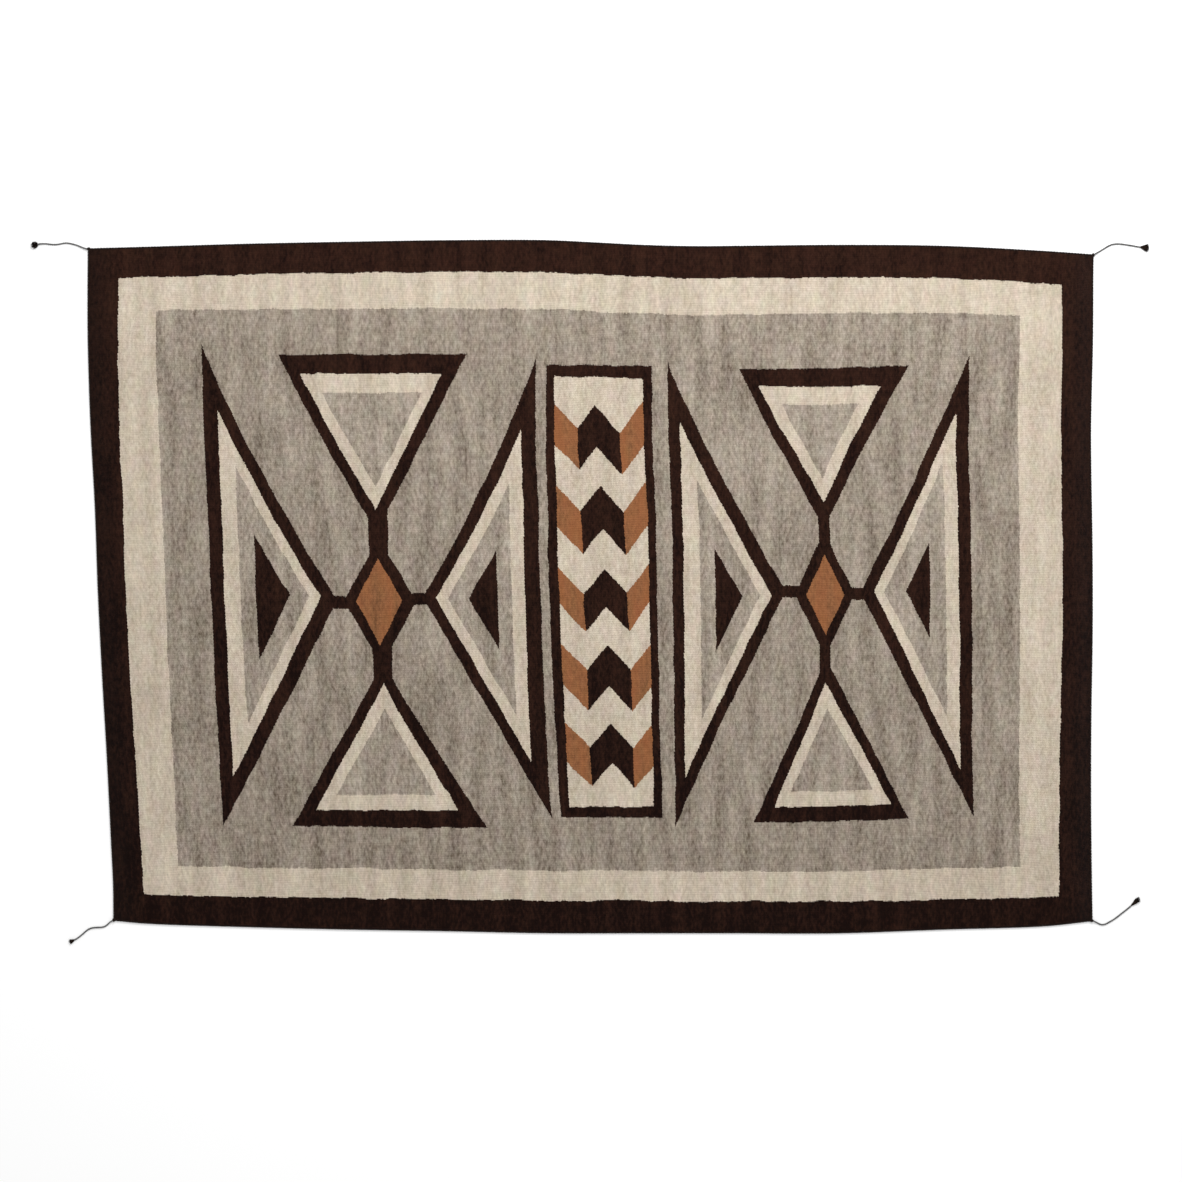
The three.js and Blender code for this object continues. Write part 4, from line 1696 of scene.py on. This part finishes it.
def tuft_tree() -> bpy.types.NodeTree:
    """Builds the tree that grows a tuft: tapered strands that leave one neck within a flare.

    Returns:
        The tree.
    """
    build = TreeBuilder("tuft_strands", {
        "Strands": "Int",
        "Reach": "Float",
        "Shortest": "Float",
        "Flare": "Float",
        "Crowding": "Float",
        "Rounding": "Float",
        "Neck": "Float",
        "Strand Radius": "Float",
        "Taper": "Float",
        "Points": "Int",
        "Sides": "Int",
        "Bend": "Float",
        "Bend Scale": "Float",
        "Press": "Float",
        "Turn": "Vector",
        "Place": "Vector",
        "Floor": "Float",
        "Seed": "Int",
    })
    inputs = build.inputs
    index = build.node("GeometryNodeInputIndex").outputs[0]

    def chance(offset: int) -> Number:
        """Gives each strand a random number from 0 to 1.

        Args:
            offset: What is added to the seed, for a number of its own.

        Returns:
            The number's socket.
        """
        seed = build.math("ADD", inputs["Seed"], float(offset))
        node = build.node("FunctionNodeRandomValue", {"ID": index, "Seed": seed}, data_type="FLOAT")
        return node.outputs["Value"]

    roll = build.math("MULTIPLY", chance(1), math.tau)
    roll_cosine, roll_sine = build.math("COSINE", roll), build.math("SINE", roll)
    outer = build.math("POWER", chance(2), inputs["Crowding"])
    spread = build.math("MULTIPLY", outer, inputs["Flare"])
    outward = build.math("SINE", spread)
    heading = build.join(
        build.math("COSINE", spread),
        build.math("MULTIPLY", outward, roll_cosine),
        build.math("MULTIPLY", outward, roll_sine),
    )
    root = build.math("MULTIPLY", inputs["Neck"], build.math("SQRT", chance(3)))
    neck = build.join(
        0.0,
        build.math("MULTIPLY", root, roll_cosine),
        build.math("MULTIPLY", root, roll_sine),
    )
    longer = build.math("SUBTRACT", 1.0, inputs["Shortest"])
    length = build.math("MULTIPLY_ADD", chance(4), longer, inputs["Shortest"])
    length = build.math("MULTIPLY", inputs["Reach"], length)
    shorter = build.math("MULTIPLY", build.math("MULTIPLY", outer, outer), inputs["Rounding"])
    length = build.math("MULTIPLY", length, build.math("SUBTRACT", 1.0, shorter))
    points = build.node("GeometryNodePoints", {"Count": inputs["Strands"], "Position": neck})
    unit = {"Start": (0.0, 0.0, 0.0), "End": (1.0, 0.0, 0.0)}
    strand = build.node("GeometryNodeCurvePrimitiveLine", unit).outputs[0]
    even = build.node("GeometryNodeResampleCurve", {"Curve": strand, "Count": inputs["Points"]})
    aim = build.node("FunctionNodeAlignRotationToVector", {"Vector": heading}, axis="X")
    grown = build.node("GeometryNodeInstanceOnPoints", {
        "Points": points.outputs[0],
        "Instance": even.outputs[0],
        "Rotation": aim.outputs[0],
        "Scale": build.join(length, length, length),
    })
    real = build.node("GeometryNodeRealizeInstances", {"Geometry": grown.outputs[0]})
    share = build.node("GeometryNodeSplineParameter")
    factor = share.outputs["Factor"]
    place = build.node("GeometryNodeInputPosition").outputs[0]
    wave = build.noise(place, inputs["Bend Scale"], 1.0, "Color")
    bent = build.vector("SUBTRACT", wave, (0.5, 0.5, 0.5))
    bend = build.math("MULTIPLY", inputs["Bend"], inputs["Reach"])
    bend = build.math("MULTIPLY", bend, build.math("MULTIPLY", factor, factor))
    waved = build.moved(real.outputs[0], build.scaled(bent, bend))
    thin = build.math("SUBTRACT", 1.0, build.math("MULTIPLY", factor, inputs["Taper"]))
    marked = build.mark(waved, "along", share.outputs["Length"])
    tapered = build.node("GeometryNodeSetCurveRadius", {"Curve": marked, "Radius": thin})
    ring = build.node(
        "GeometryNodeCurvePrimitiveCircle",
        {"Resolution": inputs["Sides"], "Radius": inputs["Strand Radius"]},
    )
    tube = build.node("GeometryNodeCurveToMesh", {
        "Curve": tapered.outputs[0],
        "Profile Curve": ring.outputs[0],
        "Fill Caps": True,
        "Scale": thin,
    })
    pressed = build.node(
        "GeometryNodeTransform",
        {"Geometry": tube.outputs[0], "Scale": build.join(1.0, 1.0, inputs["Press"])},
    )
    placed = build.node("GeometryNodeTransform", {
        "Geometry": pressed.outputs[0],
        "Translation": inputs["Place"],
        "Rotation": inputs["Turn"],
    })
    x, y, z = build.split(build.node("GeometryNodeInputPosition").outputs[0])
    resting = build.node("GeometryNodeSetPosition", {
        "Geometry": placed.outputs[0],
        "Position": build.join(x, y, build.math("MAXIMUM", z, inputs["Floor"])),
    })
    return build.finish(resting.outputs[0])


@dataclass
class CornerTies:
    """The free ends of the cords at the corners, two plies each, and the tufts on them.

    Lengths are in millimetres. lift raises the plies off the floor, lead is how far past a tie's end
    its tuft starts, and shortest, crowding, taper and bend shape the tufts' strands.
    """

    cord_tree: bpy.types.NodeTree
    tuft_tree: bpy.types.NodeTree
    tie_finish: CordFinish = TIE_FINISH
    tuft_finish: CordFinish = TUFT_FINISH
    cord: PliedCord = PliedCord(radius=1.54, ply_radius=1.1, lay=7.0, step=0.7, sides=8)
    diameter: float = 2.2
    lift: float = 0.35
    route_steps: int = 6
    heading_steps: int = 3
    shortest: float = 0.72
    crowding: float = 0.6
    neck: float = 1.1
    strand_radius: float = 0.3
    taper: float = 0.6
    strand_points: int = 6
    strand_sides: int = 5
    bend: float = 0.22
    bend_scale: float = 260.0
    clearance: float = 0.05
    lead: float = -1.0
    seed: int = 11

    def build(self) -> None:
        """Builds the four ties with their tufts."""
        tie_material = self.tie_finish.material()
        tuft_material = self.tuft_finish.material()
        for number, (corner, route) in enumerate(TIE_ROUTES.items()):
            line = catmull_rom([Vector(point) * MM for point in route], self.route_steps)
            tie = self.tie(corner, line, tie_material)
            tuft = self.tuft(corner, line, tuft_material, self.seed + number)
            Polyline(line).length

    def tie(
        self, corner: Corner, line: list[Vector], material: bpy.types.Material
    ) -> bpy.types.Object:
        """Builds one tie along its line.

        Args:
            corner: Which corner it leaves.
            line: Its centre line in metres.
            material: Its finish.

        Returns:
            The tie.
        """
        name = f"corner_tie_{corner.value}"
        lifted = [point + Vector((0.0, 0.0, self.lift * MM)) for point in line]
        made = link_object(f"{name}_plied", line_mesh(name, lifted))
        self.cord.lay_along(made, self.cord_tree, material)
        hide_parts(name)
        return dressed(made, Slot.TIE)

    def tuft(
        self, corner: Corner, line: list[Vector], material: bpy.types.Material, seed: int
    ) -> bpy.types.Object:
        """Builds the tuft on the end of one tie.

        Args:
            corner: Which corner's tie it is on.
            line: The tie's centre line in metres.
            material: Its finish.
            seed: The seed of its strands' random numbers.

        Returns:
            The tuft.
        """
        shape = TUFTS[corner]
        heading = (line[-1] - line[-1 - self.heading_steps]).normalized()
        turn = math.atan2(heading.y, heading.x)
        place = line[-1] + heading * (self.lead + shape.ahead) * MM
        name = f"tie_tuft_{corner.value}"
        made = link_object(f"{name}_strands", bpy.data.meshes.new(name))
        apply_tree(made, self.tuft_tree, {
            "Strands": shape.strands,
            "Reach": shape.reach * MM,
            "Shortest": self.shortest,
            "Flare": math.radians(shape.flare),
            "Crowding": self.crowding,
            "Rounding": shape.rounding,
            "Neck": self.neck * MM,
            "Strand Radius": self.strand_radius * MM,
            "Taper": self.taper,
            "Points": self.strand_points,
            "Sides": self.strand_sides,
            "Bend": self.bend,
            "Bend Scale": self.bend_scale,
            "Press": shape.press,
            "Turn": (0.0, -math.radians(shape.tilt), turn),
            "Place": tuple(place),
            "Floor": self.clearance * MM,
            "Seed": seed,
            "Material": material,
        })
        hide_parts(name)
        return dressed(made, Slot.TUFT)


@dataclass
class Studio:
    """The pale floor, the soft light and the camera straight above the rug.

    The camera's middle, the pixels and the scale give the photo's framing. Lengths of the camera,
    the floor and the light are in metres.
    """

    photo_pixels: float = 1182.0
    millimetres_per_pixel: float = 1.845
    camera_middle: Point2 = (0.6, -7.7)
    camera_height: float = 6.0
    camera_range: float = 100.0
    sensor: float = 36.0
    cloth_top: float = 0.004
    floor_size: float = 14.0
    key_power: float = 72.0
    key_place: Point3 = (0.6, 2.1, 2.5)
    key_aim: Point3 = (0.1, 0.1, 0.0)
    key_size: float = 1.5
    fill_strength: float = 0.67
    floor_shade: float = 0.94
    floor_glow: float = 0.15

    def camera(self) -> None:
        """Makes the camera at the photo's viewing angle and framing."""
        data = bpy.data.cameras.new("camera")
        made = link_object("camera", data)
        x, y = self.camera_middle
        made.location = (x * MM, y * MM, self.camera_height)
        width = self.photo_pixels * self.millimetres_per_pixel * MM
        data.sensor_width = self.sensor
        data.lens = self.sensor * (self.camera_height - self.cloth_top) / width
        data.clip_end = self.camera_range
        bpy.context.scene.camera = made

    def floor(self) -> None:
        """Makes the plain pale floor that the rug lies on, with a faint glow of its own."""
        half = self.floor_size / 2
        mesh = bpy.data.meshes.new("floor")
        corners = [(-half, -half, 0.0), (half, -half, 0.0), (half, half, 0.0), (-half, half, 0.0)]
        mesh.from_pydata(corners, [], [(0, 1, 2, 3)])
        shade = self.floor_shade
        mesh.materials.append(ShaderBuilder("floor_finish").surface({
            "Base Color": (shade, shade, shade, 1.0),
            "Roughness": 1.0,
            "Specular IOR Level": 0.0,
            "Emission Color": WHITE,
            "Emission Strength": self.floor_glow,
        }))
        link_object("floor", mesh)

    def lights(self) -> None:
        """Makes one large soft light above the rug's top edge and an even fill."""
        data = bpy.data.lights.new("key", "AREA")
        data.shape = "SQUARE"
        data.size = self.key_size
        data.energy = self.key_power
        made = link_object("key", data)
        made.location = self.key_place
        towards = Vector(self.key_aim) - Vector(self.key_place)
        made.rotation_euler = towards.to_track_quat("-Z", "Y").to_euler()
        world = bpy.data.worlds.new("studio")
        world.use_nodes = True
        background = world.node_tree.nodes["Background"]
        background.inputs["Color"].default_value = WHITE
        background.inputs["Strength"].default_value = self.fill_strength
        bpy.context.scene.world = world
        bpy.context.scene.view_settings.view_transform = "Standard"


def main() -> None:
    """Builds the rug piece by piece."""
    logging.basicConfig(level=logging.INFO, format="%(name)s: %(message)s")
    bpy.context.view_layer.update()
    studio = Studio()
    studio.camera()
    outline = Outline()
    plied = cord_tree()
    CornerTies(plied, tuft_tree()).build()
    cords = EdgeCords(outline, plied).build()
    knots = CornerKnots(outline, plied).build()
    cloth = Cloth(outline)
    woven = cloth.build()
    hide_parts("rug_cloth")
    dressed(woven, Slot.CLOTH)
    studio.floor()
    studio.lights()


if __name__ == "__main__":
    main()
